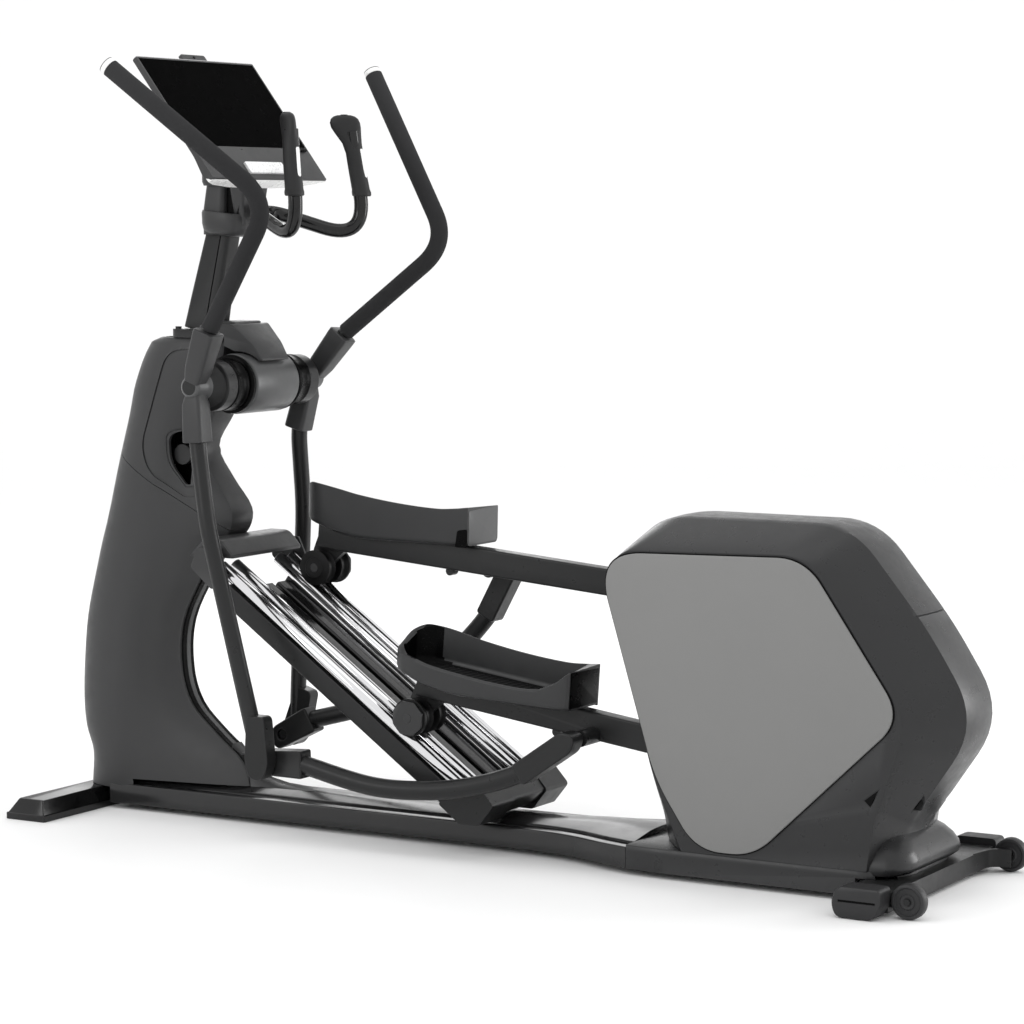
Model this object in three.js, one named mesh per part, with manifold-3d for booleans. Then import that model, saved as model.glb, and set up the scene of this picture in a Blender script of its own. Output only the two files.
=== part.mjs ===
// Elliptical trainer: rear crank drive, inclined roller track, swing arms and a console mast.
// Millimetres. +X runs to the rear (the crank housing), +Y to the user's right, +Z up.
// The origin is on the floor, below the middle of the machine's box.

import * as THREE from 'three';
import { mergeVertices } from 'three/addons/utils/BufferGeometryUtils.js';
import Module from 'manifold-3d';

const wasm = await Module();
wasm.setup();

// ---------------------------------------------------------------- driving dimensions

const GAP = 0.4;                       // clearance between touching pieces
const HALF_LENGTH = 1016.5;            // from the origin to the front foot and to the rear wheels
const FOOT = { depth: 100, half: 297, height: 44, lip: 14 };
const BASE = { half: 90, rearHalf: 160, bottom: 12, skirtTop: 54, frontX: -905, flareX: 120, rearX: 363 };
const PIVOT = { x: -589.5, z: 903 };   // axis of both swing arms
const CRANK = { x: 663.5, z: 348, radius: 236 };
const TRACK = { angle: THREE.MathUtils.degToRad(35.2), x: -266.5, z: 307.6, top: -392, bottom: 345 };
const RAIL = { radius: 13.5, inner: 79, outer: 126 };
const ROLLER = { flange: 38, lift: 44, inner: 79, outer: 126 };
const TRAVEL = { left: 143.5, right: -302 };   // rest place of each roller axle along the track
const ARM = { length: 970, rise: 66, width: 34, height: 54, y: 102 };
const ARM_TILT = { left: -3.9, right: -1.1 };  // degrees, rear end down
const SWING_TURN = { left: -0.3, right: 17.4 };   // degrees, handle towards the rear
const SWING_END = { x: 171, z: -747 };         // lower pivot of a swing arm, from its axis
const LINK = { length: 690, y: 200, radius: 19 };
const LINK_EYE = { along: 397, up: 22 };       // link pivot on the pedal arm, from the roller axle
const HOUSING = { half: 158, rimHalf: 62, wall: 5, seamZ: 519 };
const CONSOLE = { half: 204, length: 307, x: -728.5, z: 1566, lean: THREE.MathUtils.degToRad(37.5) };
const MAST = { x: -710, z: 1016, lean: THREE.MathUtils.degToRad(12.7), length: 222 };

const SIDES = [{ name: 'left', sign: -1 }, { name: 'right', sign: 1 }];

// ---------------------------------------------------------------- materials

const finish = (color, roughness, metalness) => ({ color, roughness, metalness });
const FINISHES = {
  shell: finish(0x3b3c3e, 0.45, 0.0),
  frame: finish(0x2c2d2f, 0.4, 0.3),
  casting: finish(0x47484a, 0.4, 0.4),
  chrome: finish(0xdcdcdc, 0.08, 1.0),
  silver: finish(0x8c8c8a, 0.35, 0.3),
  steel: finish(0x9a9a9c, 0.35, 0.9),
  rubber: finish(0x1c1c1d, 0.8, 0.0),
  foam: finish(0x2e2e30, 0.9, 0.0),
  screen: finish(0x050505, 0.1, 0.0),
  lightShell: finish(0xd9dadb, 0.3, 0.2),
};

const machine = new THREE.Group();

function add(name, geometry, finishName, parent = machine) {
  const mesh = new THREE.Mesh(geometry, new THREE.MeshStandardMaterial(FINISHES[finishName]));
  mesh.name = name;
  parent.add(mesh);
  return mesh;
}

// ---------------------------------------------------------------- solid helpers

function toSolid(geometry) {
  const bare = geometry.clone();
  bare.deleteAttribute('normal');
  bare.deleteAttribute('uv');
  const merged = mergeVertices(bare, 1e-3);
  return new wasm.Manifold(new wasm.Mesh({
    numProp: 3,
    vertProperties: Float32Array.from(merged.attributes.position.array),
    triVerts: Uint32Array.from(merged.index.array),
  }));
}

function toGeometry(solid) {
  const mesh = solid.getMesh();
  const geometry = new THREE.BufferGeometry();
  geometry.setAttribute('position', new THREE.BufferAttribute(Float32Array.from(mesh.vertProperties), 3));
  geometry.setIndex(Array.from(mesh.triVerts));
  return geometry;
}

const join = (...parts) => toGeometry(parts.map(toSolid).reduce((a, b) => a.add(b)));
const cut = (part, ...tools) => toGeometry(tools.map(toSolid).reduce((a, b) => a.subtract(b), toSolid(part)));
const meet = (a, b) => toGeometry(toSolid(a).intersect(toSolid(b)));

function box(x0, x1, y0, y1, z0, z1) {
  const geometry = new THREE.BoxGeometry(x1 - x0, y1 - y0, z1 - z0);
  return geometry.translate((x0 + x1) / 2, (y0 + y1) / 2, (z0 + z1) / 2);
}

// The copy of a right-hand piece on the side that is asked for.
function onSide(geometry, side) {
  if (side.sign > 0) return geometry;
  const mirrored = geometry.clone().scale(1, -1, 1);
  if (!mirrored.index) return mirrored.setIndex(flipped([...Array(mirrored.attributes.position.count).keys()]));
  return mirrored.setIndex(flipped(Array.from(mirrored.index.array)));
}

function flipped(index) {
  for (let i = 0; i < index.length; i += 3) [index[i], index[i + 1]] = [index[i + 1], index[i]];
  return index;
}

// A closed outline through corners [a, b, cut], each corner rounded off over the length cut.
function outline(corners, steps = 5) {
  const points = [];
  const vectors = corners.map(([a, b]) => new THREE.Vector2(a, b));
  corners.forEach(([, , round = 0], i) => {
    const here = vectors[i];
    const before = vectors[(i + corners.length - 1) % corners.length];
    const after = vectors[(i + 1) % corners.length];
    if (!round) return points.push(here.clone());
    const reach = Math.min(round, here.distanceTo(before) * 0.48, here.distanceTo(after) * 0.48);
    const start = here.clone().add(before.clone().sub(here).setLength(reach));
    const end = here.clone().add(after.clone().sub(here).setLength(reach));
    points.push(...new THREE.QuadraticBezierCurve(start, here, end).getPoints(steps));
  });
  return points;
}

// Extrusions of an outline drawn in one plane, between two stations on the third axis.
function extrude(points, depth, holes = []) {
  const shape = new THREE.Shape(points);
  shape.holes = holes.map((hole) => new THREE.Path(hole));
  return new THREE.ExtrudeGeometry(shape, { depth, bevelEnabled: false, steps: 1 });
}
const alongY = (points, y0, y1, holes) => extrude(points, y1 - y0, holes).rotateX(Math.PI / 2).translate(0, y1, 0);
const alongZ = (points, z0, z1, holes) => extrude(points, z1 - z0, holes).translate(0, 0, z0);
const YZ_TO_WORLD = new THREE.Matrix4().makeBasis(
  new THREE.Vector3(0, 1, 0), new THREE.Vector3(0, 0, 1), new THREE.Vector3(1, 0, 0));
const alongX = (points, x0, x1) => extrude(points, x1 - x0).applyMatrix4(YZ_TO_WORLD).translate(x0, 0, 0);

function circle(a, b, radius, count = 24) {
  return Array.from({ length: count }, (_, i) => {
    const angle = (2 * Math.PI * i) / count;
    return new THREE.Vector2(a + radius * Math.cos(angle), b + radius * Math.sin(angle));
  });
}

// A disc or pin about a line that runs along Y.
const pinY = (x, z, radius, y0, y1, count = 24) => alongY(circle(x, z, radius, count), y0, y1);

// A turned body about a line along Y, from a profile of [radius, y] pairs.
function turned(x, z, profile, count = 32) {
  const points = profile.map(([radius, y]) => new THREE.Vector2(radius, y));
  return new THREE.LatheGeometry(points, count).translate(x, 0, z);
}

// A closed skin over loops of equal length, capped flat at both ends.
function loft(loops) {
  const count = loops[0].length;
  const position = loops.flat().flatMap((p) => [p.x, p.y, p.z]);
  const index = [];
  for (let row = 0; row < loops.length - 1; row += 1) {
    for (let i = 0; i < count; i += 1) {
      const a = row * count + i;
      const b = row * count + ((i + 1) % count);
      const [p, q, r, t] = [a, b, b + count, a + count].map((k) => loops[Math.floor(k / count)][k % count]);
      if (p.distanceTo(r) <= q.distanceTo(t) + 1e-6) index.push(a, b, b + count, a, b + count, a + count);
      else index.push(a, b, a + count, b, b + count, a + count);
    }
  }
  const capped = (loop, offset, turn) => {
    const u = loop[1].clone().sub(loop[0]).normalize();
    const normal = new THREE.Vector3();
    loop.forEach((p, i) => normal.add(p.clone().cross(loop[(i + 1) % loop.length])));
    const v = normal.normalize().clone().cross(u);
    const flat = loop.map((p) => new THREE.Vector2(p.dot(u), p.dot(v)));
    THREE.ShapeUtils.triangulateShape(flat, []).forEach(([a, b, c]) => {
      index.push(...(turn ? [c, b, a] : [a, b, c]).map((k) => k + offset));
    });
  };
  capped(loops[0], 0, true);
  capped(loops.at(-1), (loops.length - 1) * count, false);
  const geometry = new THREE.BufferGeometry();
  geometry.setAttribute('position', new THREE.Float32BufferAttribute(position, 3));
  geometry.setIndex(index);
  const solid = toSolid(geometry);
  if (solid.volume() > 0) return geometry;
  return geometry.setIndex(flipped(index));
}

// A round tube through corner points, each corner bent over the given length.
function bentTube(points, bend, radius, sides = 12, steps = 4) {
  const corners = points.map((p) => new THREE.Vector3(...p));
  const stations = [];
  corners.forEach((here, i) => {
    if (i === 0 || i === corners.length - 1) return stations.push(here);
    const into = here.clone().add(corners[i - 1].clone().sub(here).setLength(bend));
    const out = here.clone().add(corners[i + 1].clone().sub(here).setLength(bend));
    stations.push(...new THREE.QuadraticBezierCurve3(into, here, out).getPoints(steps));
  });
  return sweep(stations, radius, sides);
}

// A round section carried along a line of stations without twisting.
function sweep(stations, radius, sides) {
  const heading = stations.map((p, i) => {
    const before = stations[Math.max(i - 1, 0)];
    const after = stations[Math.min(i + 1, stations.length - 1)];
    return after.clone().sub(p).normalize().add(p.clone().sub(before).normalize()).normalize();
  });
  let across = new THREE.Vector3(0.2, 1, 0.1).cross(heading[0]).normalize();
  return loft(stations.map((p, i) => {
    across = across.clone().addScaledVector(heading[i], -across.dot(heading[i])).normalize();
    const up = heading[i].clone().cross(across);
    return circle(0, 0, radius, sides).map((c) => p.clone().addScaledVector(across, c.x).addScaledVector(up, c.y));
  }));
}

function rod(from, to, radius, sides = 16) {
  const a = new THREE.Vector3(...from);
  const b = new THREE.Vector3(...to);
  const turn = new THREE.Quaternion().setFromUnitVectors(
    new THREE.Vector3(0, 1, 0), b.clone().sub(a).normalize());
  const geometry = new THREE.CylinderGeometry(radius, radius, a.distanceTo(b), sides);
  return geometry.applyQuaternion(turn).translate(...a.add(b).multiplyScalar(0.5).toArray());
}

// A tapered block: rectangular loops with rounded corners at stations along a line in the XZ plane.
function taperedPost(stations, sides = 4) {
  return loft(stations.map(({ x, z, lean, deep, wide }) => {
    const round = Math.min(deep, wide) * 0.3;
    const corners = [[-deep / 2, -wide / 2], [deep / 2, -wide / 2], [deep / 2, wide / 2], [-deep / 2, wide / 2]];
    return outline(corners.map(([a, b]) => [a, b, round]), sides).map(({ x: a, y: b }) =>
      new THREE.Vector3(x + a * Math.cos(lean), b, z - a * Math.sin(lean)));
  }));
}

// ---------------------------------------------------------------- places on the linkage

const slope = new THREE.Vector2(Math.cos(TRACK.angle), -Math.sin(TRACK.angle));
const lift = new THREE.Vector2(Math.sin(TRACK.angle), Math.cos(TRACK.angle));

function onTrack(along, above) {
  return new THREE.Vector2(TRACK.x, TRACK.z).addScaledVector(slope, along).addScaledVector(lift, above);
}

// A group whose own X axis runs down the track, with its origin at the track's datum.
function trackGroup() {
  const group = new THREE.Group();
  group.position.set(TRACK.x, 0, TRACK.z);
  group.rotation.y = TRACK.angle;
  machine.add(group);
  return group;
}

// ---------------------------------------------------------------- base

function frontFoot() {
  const x0 = -HALF_LENGTH;
  const x1 = x0 + FOOT.depth;
  const bar = [[x0, 0], [x1, 0], [x1, FOOT.lip], [x1 - 4, FOOT.lip], [x1 - 14, FOOT.height],
    [x0 + 26, FOOT.height], [x0 + 4, FOOT.lip], [x0, FOOT.lip]].map(([x, z]) => new THREE.Vector2(x, z));
  const endCut = (sign) => alongX([[sign * FOOT.half, FOOT.lip], [sign * (FOOT.half + 40), FOOT.lip],
    [sign * (FOOT.half + 40), FOOT.height + 20], [sign * (FOOT.half - 12), FOOT.height + 20]]
    .map(([y, z]) => new THREE.Vector2(y, z)), x0 - 5, x1 + 5);
  const hollow = box(x0 + 8, x1 - 20, -235, 235, -5, 34);
  return cut(alongY(bar, -FOOT.half, FOOT.half), endCut(1), endCut(-1), hollow);
}

// The welded base: a box beam with two bearing plates inside the crank housing.
const FLYWHEEL = { x: 858, z: 372, radius: 104 };
const PLATE_Y = 44;

function baseFrame() {
  const beam = box(-HALF_LENGTH + FOOT.depth + GAP, 858.6, -40, 40, 16, 42);
  const hollow = box(-HALF_LENGTH, 880, -36, 36, 20, 38);
  const plate = (y) => {
    const profile = outline([[560, 41], [760, 41], [CRANK.x + 34, CRANK.z - 40, 20],
      [FLYWHEEL.x + 26, FLYWHEEL.z - 26, 12], [FLYWHEEL.x + 26, FLYWHEEL.z + 26, 12],
      [CRANK.x + 20, CRANK.z + 36, 16], [CRANK.x - 34, CRANK.z + 36, 16], [CRANK.x - 34, CRANK.z - 60, 20]]);
    const bores = [circle(CRANK.x, CRANK.z, 15.4, 28), circle(FLYWHEEL.x, FLYWHEEL.z, 10.4, 20)];
    return alongY(profile, y - 3, y + 3, bores.map((hole) => hole.reverse()));
  };
  return join(cut(beam, hollow), plate(-PLATE_Y + 8), plate(PLATE_Y - 8));
}

// The front base cover is an open-bottomed skirt with a raised spine that flares towards the housing.
function coverSkin() {
  const section = (x, half, top) => {
    const rightHalf = [[half, BASE.bottom], [half, BASE.skirtTop - 3], [half - 5, BASE.skirtTop],
      [half - 20, BASE.skirtTop], [half - 26, BASE.skirtTop - 5], [half - 34, BASE.skirtTop + 3],
      [half * 0.32, top - 2], [0, top]];
    const leftHalf = rightHalf.slice(0, -1).reverse().map(([y, z]) => [-y, z]);
    return [...rightHalf, ...leftHalf].map(([y, z]) => new THREE.Vector3(x, y, z));
  };
  const stations = [[BASE.frontX, BASE.half, 70], [-500, BASE.half, 68], [-100, BASE.half, 64],
    [BASE.flareX, BASE.half + 4, 66], [220, 108, 70], [300, 136, 71], [BASE.rearX - GAP, BASE.rearHalf - 6, 70]];
  const skin = loft(stations.map(([x, half, top]) => section(x, half, top)));
  return { skin, stations };
}

function baseCoverFront() {
  const { skin, stations } = coverSkin();
  const hollow = loft(stations.map(([x, half], i) => {
    const end = i === 0 ? x - 5 : x + (i === stations.length - 1 ? 5 : 0);
    return [[half - 5, 0], [half - 5, 44], [-half + 5, 44], [-half + 5, 0]]
      .map(([y, z]) => new THREE.Vector3(end, y, z));
  }));
  return cut(skin, hollow, box(-892.6, -839, -22.6, 22.6, 40, 90));
}

// The rear base cover is the wide plinth under the crank housing, with a raised heel behind it.
function baseCoverRear() {
  const plinth = (half, rear, z) => outline([[BASE.rearX, -half + 6], [420, -half, 30], [rear - 40, -half, 60],
    [rear, -half + 70, 50], [rear, half - 70, 50], [rear - 40, half, 60], [420, half, 30], [BASE.rearX, half - 6]])
    .map((p) => new THREE.Vector3(p.x, p.y, z));
  const skin = loft([plinth(160, 921, BASE.bottom), plinth(160, 921, 44), plinth(156, 917, 57)]);
  const heelSide = outline([[903, 50], [922, 50], [936, 64, 8], [934, 84, 10], [912, 108, 10], [903, 113, 4]], 3);
  const heel = loft([[-112, 0.5], [-96, 1], [96, 1], [112, 0.5]].map(([y, full]) => heelSide.map((p) =>
    new THREE.Vector3(903 + (p.x - 903) * full, y, 50 + (p.y - 50) * full))));
  const hollow = box(BASE.rearX - 5, 905, -151, 151, 0, 50.5);
  const plateOpening = box(550, 790, -42, 42, 40, 70);
  return cut(join(skin, heel), hollow, plateOpening, box(840, 960, -165, 165, 0, 44.5));
}

// ---------------------------------------------------------------- rear stabiliser

const WHEEL = { radius: 32.5, z: 33, y: 244, width: 24 };

function rearBar() {
  const bar = box(859, 945, -250, 250, 8, 44);
  const arm = (sign) => {
    const plan = [[944, sign * 150], [944, sign * 214], [HALF_LENGTH - 50, sign * 229], [HALF_LENGTH - 24, sign * 229],
      [HALF_LENGTH - 24, sign * 223], [HALF_LENGTH - 60, sign * 212]].map(([x, y]) => new THREE.Vector2(x, y));
    if (sign < 0) plan.reverse();
    return alongZ(plan, 12, 46);
  };
  const axle = (sign) => pinY(HALF_LENGTH - WHEEL.radius, WHEEL.z, 6, ...(sign > 0 ? [225, 262] : [-262, -225]), 16);
  return join(bar, arm(1), arm(-1), axle(1), axle(-1));
}

function rearEndCap() {
  const profile = outline([[862, 9, 12], [936, 9, 12], [950, 32, 14], [950, 58, 10], [866, 58, 12], [853, 34, 14]], 3);
  const block = alongY(profile, 250.4, 297);
  const pad = alongZ(circle(900, 274, 20, 16), 0, 14);
  return cut(join(block, pad), box(868, 942, 294, 300, 31, 35));
}

function transportWheel() {
  const { radius, y, z, width } = WHEEL;
  const profile = [[6.1, y - width / 2 + 4], [10, y - width / 2], [radius - 5, y - width / 2], [radius, y - width / 2 + 5],
    [radius, y + width / 2 - 5], [radius - 5, y + width / 2], [radius - 8, y + width / 2 - 3],
    [10, y + width / 2 - 3], [6.1, y + width / 2]];
  return turned(HALF_LENGTH - radius, z, [...profile, profile[0]], 22);
}

// ---------------------------------------------------------------- front column

// Plan sections of the column: a rounded nose, its widest crease, and a narrow rear edge.
const COLUMN_LEVELS = [
  { z: 44.6, tip: -992, crease: -870, wide: 90, rear: -575, narrow: 40 },
  { z: 112, tip: -990, crease: -866, wide: 89, rear: -608, narrow: 28 },
  { z: 165, tip: -1010, crease: -866, wide: 88, rear: -674, narrow: 25 },
  { z: 225, tip: -1016, crease: -866, wide: 88, rear: -738, narrow: 25 },
  { z: 300, tip: -1014, crease: -862, wide: 87, rear: -764, narrow: 25 },
  { z: 400, tip: -1004, crease: -856, wide: 86, rear: -758, narrow: 25 },
  { z: 500, tip: -980, crease: -838, wide: 84, rear: -706, narrow: 27 },
  { z: 560, tip: -964, crease: -824, wide: 83, rear: -664, narrow: 32 },
  { z: 596, tip: -953, crease: -815, wide: 82, rear: -628, narrow: 38 },
  { z: 640, tip: -941, crease: -804, wide: 81, rear: -622, narrow: 40 },
  { z: 700, tip: -926, crease: -790, wide: 80, rear: -664, narrow: 36 },
  { z: 765, tip: -909, crease: -774, wide: 78, rear: -700, narrow: 34 },
  { z: 830, tip: -891, crease: -758, wide: 76, rear: -668, narrow: 40 },
  { z: 900, tip: -874, crease: -742, wide: 74, rear: -640, narrow: 58 },
  { z: 982, tip: -834, crease: -722, wide: 68, rear: -622, narrow: 60 },
  { z: 994, tip: -806, crease: -716, wide: 62, rear: -628, narrow: 54 },
];

function columnSection({ z, tip, crease, wide, rear, narrow }, inset = 0) {
  const nose = 5;
  const half = [];
  for (let i = 0; i <= nose; i += 1) {
    const angle = (Math.PI / 2) * (i / nose);
    half.push([crease - (crease - tip - inset) * Math.cos(angle) ** 0.8, (wide - inset) * Math.sin(angle) ** 0.8]);
  }
  const rearHalf = Math.max(narrow - inset, 4);
  half.push([crease + (rear - crease) * 0.5, (wide - inset) * 0.55 + rearHalf * 0.45]);
  half.push([rear - inset - 3, rearHalf], [rear - inset, rearHalf * 0.8]);
  const right = half.map(([x, y]) => new THREE.Vector3(x, y, z));
  const left = half.slice(1).reverse().map(([x, y]) => new THREE.Vector3(x, -y, z));
  return [...right, ...left];
}

// The seam between the upper and the lower shroud falls towards the rear.
function aboveSeam(raise) {
  const line = [[-1100, 863.6 + raise], [-500, 524 + raise], [-500, 1100], [-1100, 1100]];
  return alongY(line.map(([x, z]) => new THREE.Vector2(x, z)), -200, 200);
}

const COLUMN_WALL = 7;
function columnSolid(inset, extra = 0) {
  const last = COLUMN_LEVELS.length - 1;
  return loft(COLUMN_LEVELS.map((level, i) => {
    const z = i === 0 ? level.z - extra : level.z + (i === last ? Math.min(extra, 0) : 0);
    return columnSection({ ...level, z }, inset);
  }));
}

// The round seat of the pivot housing, and the D-shaped windows beside the cross tube.
const headSeat = () => pinY(PIVOT.x, PIVOT.z, 66.5, -120, 120, 40);
const WINDOW = { front: -757, rear: -712, bottom: 690, top: 804 };
function windowShape(grow, y0, y1) {
  const { front, rear, bottom, top } = WINDOW;
  return alongY(outline([[front - grow, top + grow - 8, 34], [front - grow, bottom + 45, 26], [rear - 10, bottom - grow, 8],
    [rear, bottom - grow], [rear, top + grow]]), y0, y1);
}

function columnShroud(upper) {
  const shell = cut(columnSolid(0), columnSolid(COLUMN_WALL, 5));
  if (!upper) return cut(shell, aboveSeam(-GAP), coverSkin().skin.translate(0, 0, GAP));
  const neckOpening = box(-700, -600, -34.4, 34.4, 861.6, 944.4);
  const layer = cut(columnSolid(-8), columnSolid(4.7));
  const pockets = SIDES.map((side) => onSide(meet(panelBlank(0), layer), side));
  return cut(meet(shell, aboveSeam(GAP)), headSeat(), windowShape(0, -120, 120), neckOpening, ...pockets);
}

const PANEL = [[-692, 974, 20], [-762, 966, 30], [-826, 770, 40], [-806, 716, 26], [-724, 664, 10], [-692, 664, 6]];
function panelBlank(inset) {
  const middle = [-756, 812];
  const near = (value, i) => value + Math.sign(middle[i] - value) * inset;
  const blank = alongY(outline(PANEL.map(([x, z, round]) => [near(x, 0), near(z, 1), round]), 3), 20, 120);
  const margin = 3 + inset;
  return cut(blank, windowShape(margin, 0, 130),
    box(WINDOW.rear - 2, -600, 0, 130, WINDOW.bottom - margin, WINDOW.top + margin));
}

// The side panels are flat plates let into the upper shroud.
function sidePanel() {
  const layer = cut(columnSolid(1), columnSolid(4.3));
  return cut(meet(panelBlank(0.6), layer), pinY(PIVOT.x, PIVOT.z, 68, 0, 120, 40));
}

// The steel post inside the shroud, with the cross tube behind the windows.
function columnPost() {
  const stations = [[-868, 42.4], [-846, 200], [-820, 420], [-778, 600], [-752, 700], [-724, 820], [-712, 940]];
  const tube = (deep, wide, grow) => loft(stations.map(([x, z], i) => {
    const up = i === 0 ? z - grow : z + (i === stations.length - 1 ? grow : 0);
    return [[-deep, -wide], [deep, -wide], [deep, wide], [-deep, wide]].map(([a, b]) =>
      new THREE.Vector3(x + a, b, up));
  }));
  const cross = pinY(-734.5, 752, 21, -54, 54, 24);
  return cut(join(tube(24, 22, 0), cross), tube(20, 18, 1));
}

// ---------------------------------------------------------------- head and swing arm axle

function pivotHousing() {
  const barrel = turned(PIVOT.x, PIVOT.z, [[0, -90], [54, -90], [60, -87], [60, -81], [57, -79], [62, -76], [62, 76],
    [57, 79], [60, 81], [60, 87], [54, 90], [0, 90]], 32);
  const neck = alongY(outline([[PIVOT.x - 96, 862], [PIVOT.x, 862], [PIVOT.x, 944], [PIVOT.x - 96, 944]]), -34, 34);
  const bore = pinY(PIVOT.x, PIVOT.z, 15.1, -95, 95, 28);
  return cut(join(barrel, neck), bore);
}

const pivotAxle = () => pinY(PIVOT.x, PIVOT.z, 15, -186, 186, 28);

function pivotHood() {
  const side = outline([[-622, 984], [-668, 996], [-668, 1024, 4], [-594, 1026, 10], [-548, 978, 14], [-534, 950, 6],
    [-552, 948]], 3);
  const block = loft([[-84, 0.92], [-76, 1], [76, 1], [84, 0.92]].map(([y, full]) => side.map((p) =>
    new THREE.Vector3(-600 + (p.x + 600) * full, y, 975 + (p.y - 975) * full))));
  return cut(block, headSeat(), box(-700, -615.5, -100, 100, 900, 996.5));
}

// ---------------------------------------------------------------- mast, neck and console

function mast() {
  const flange = alongZ(outline([[-757, -66, 18], [-622, -66, 18], [-622, 66, 18], [-757, 66, 18]]), 994.5, 1012);
  return join(cut(flange, box(-670, -600, -90, 90, 990, 1028)), mastPost(0));
}

function mastPost(grow) {
  const climb = (along, deep, wide) => ({ x: MAST.x + along * Math.sin(MAST.lean),
    z: MAST.z - 8 + along * Math.cos(MAST.lean), lean: MAST.lean, deep: deep + 2 * grow, wide: wide + 2 * grow });
  return taperedPost([climb(0, 74, 58), climb(60, 68, 54), climb(190, 56, 46), climb(MAST.length + grow, 54, 45)], 3);
}

// The neck carries the console and the handlebar, with an open recess towards the user.

function consoleNeck() {
  const body = taperedPost([
    { x: -648, z: 1206, lean: 0.1, deep: 84, wide: 92 },
    { x: -645, z: 1222, lean: 0.1, deep: 110, wide: 112 },
    { x: -641, z: 1262, lean: 0.1, deep: 116, wide: 116 },
    { x: -640, z: 1330, lean: 0.1, deep: 110, wide: 104 },
    { x: -650, z: 1400, lean: 0.3, deep: 84, wide: 96 },
  ], 3);
const socket = mastPost(0.6);
  return { body, socket };
}

// The console is built flat and leaned back: its own X runs down the face and its own Z stands off it.
function consoleGroup() {
  const group = new THREE.Group();
  group.position.set(CONSOLE.x, 0, CONSOLE.z);
  group.rotation.y = Math.PI / 2 - CONSOLE.lean;
  machine.add(group);
  return group;
}

const SCREEN = { length: 226, rise: 3 };

function consoleBack() {
  const { half, length } = CONSOLE;
  const panel = alongY([[0, -3], [length, -3], [length + 2, -9], [length - 16, -22], [length - 60, -15], [1, -15]]
    .map(([x, z]) => new THREE.Vector2(x, z)), -half, half);
  const bulge = loft([[-15, 0], [-27, 6], [-36, 22]].map(([z, inset]) => outline([[54 + inset, -104 + inset],
    [length - 62 - inset, -104 + inset], [length - 62 - inset, 104 - inset], [54 + inset, 104 - inset]]
    .map(([x, y]) => [x, y, 20]), 2).map((p) => new THREE.Vector3(p.x, p.y, z + (z === -15 ? 2 : 0)))));
  const pocket = box(5, SCREEN.length, -half + 5, half - 5, -9, 2);
  return cut(join(panel, bulge), pocket);
}

const consoleScreen = () => box(5.4, SCREEN.length - 0.4, -CONSOLE.half + 5.4, CONSOLE.half - 5.4, -8.6, -2.4);

function leanedNeck(group) {
  const { body, socket } = consoleNeck();
  group.updateMatrixWorld(true);
  const above = box(-60, CONSOLE.length + 180, -220, 220, -36.4, 300).applyMatrix4(group.matrixWorld);
  const cup = alongZ(outline([[-664, -36, 20], [-540, -36], [-540, 36], [-664, 36, 20]], 3), 1234, 1306);
  return cut(body, socket, above, cup);
}

// ---------------------------------------------------------------- fixed handlebar

const BAR = { radius: 14.5, y: 125 };
const BAR_PATH = [[-420, 110, 1416], [-396, BAR.y, 1214], [-560, 34, 1252]];

function handlebar() {
  const mirrored = BAR_PATH.map(([x, y, z]) => [x, -y, z]).reverse();
  return bentTube([...BAR_PATH, ...mirrored], 26, BAR.radius);
}

// A grip is a sleeve that leans inwards and swells into a head with a thumb button on top.
function staticGrip() {
  const stations = [[-404, 123, 1284, 19, 18], [-405, 122, 1292, 20.5, 19], [-412, 118, 1350, 19, 18],
    [-420, 112, 1392, 22, 19], [-430, 106, 1420, 27, 22], [-433, 104, 1438, 27, 22], [-433, 104, 1448, 18, 15]];
  const skin = loft(stations.map(([x, y, z, deep, wide]) => circle(0, 0, 1, 18).map((p) =>
    new THREE.Vector3(x + p.x * deep, y + p.y * wide, z))));
  const core = bentTube([[-420.2, 109.9, 1417.5], ...BAR_PATH.slice(1)], 26, BAR.radius + 2 * GAP);
  return cut(skin, core, alongZ(circle(BUTTON.x, BUTTON.y, BUTTON.radius + GAP, 16), 1436, 1460));
}

const BUTTON = { x: -434, y: 104, radius: 8 };
const thumbButton = () => alongZ(circle(BUTTON.x, BUTTON.y, BUTTON.radius, 16), 1440, 1451);

// ---------------------------------------------------------------- track

function rail(y) {
  const outer = circle(y, 0, RAIL.radius, 20);
  const bore = circle(y, 0, RAIL.radius - 2.5, 16);
  return cut(alongX(outer, TRACK.top, TRACK.bottom), alongX(bore, TRACK.top - 5, TRACK.bottom - 6));
}

function sideBeam() {
  const top = -RAIL.radius - GAP;
  const profile = outline([[112, top - 38, 5], [142, top - 38, 5], [142, top + 2, 3], [138, top + 2], [138, top],
    [112, top]], 2);
  return alongX(profile, -352, TRACK.bottom - 12);
}

function centreChannel() {
  const wall = 4;
  const profile = [[-60, -50], [60, -50], [60, -6], [60 - wall, -6], [60 - wall, -50 + wall],
    [-60 + wall, -50 + wall], [-60 + wall, -6], [-60, -6]].map(([y, z]) => new THREE.Vector2(y, z));
  const bridge = (x) => box(x, x + 70, -59, 59, -14, -9);
  return join(alongX(profile, -340, TRACK.bottom - 12), bridge(-300), bridge(-60), bridge(200));
}

// The roof over the upper rail ends follows the column and carries the rails on two cheek plates.
function trackTopCover() {
  const roof = outline([[-634.8, 588], [-590, 588, 8], [-560, 556, 4], [-562, 550], [-669, 550]], 3);
  const cheek = outline([[-632, 572], [-649, 530, 6], [-595, 486, 8], [-562, 534], [-580, 572]], 3);
  const ledge = box(-630, -586, -148, 148, 564, 572);
  return join(alongY(roof, -126, 126), ledge, alongY(cheek, 143, 148), alongY(cheek, -148, -143));
}

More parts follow.
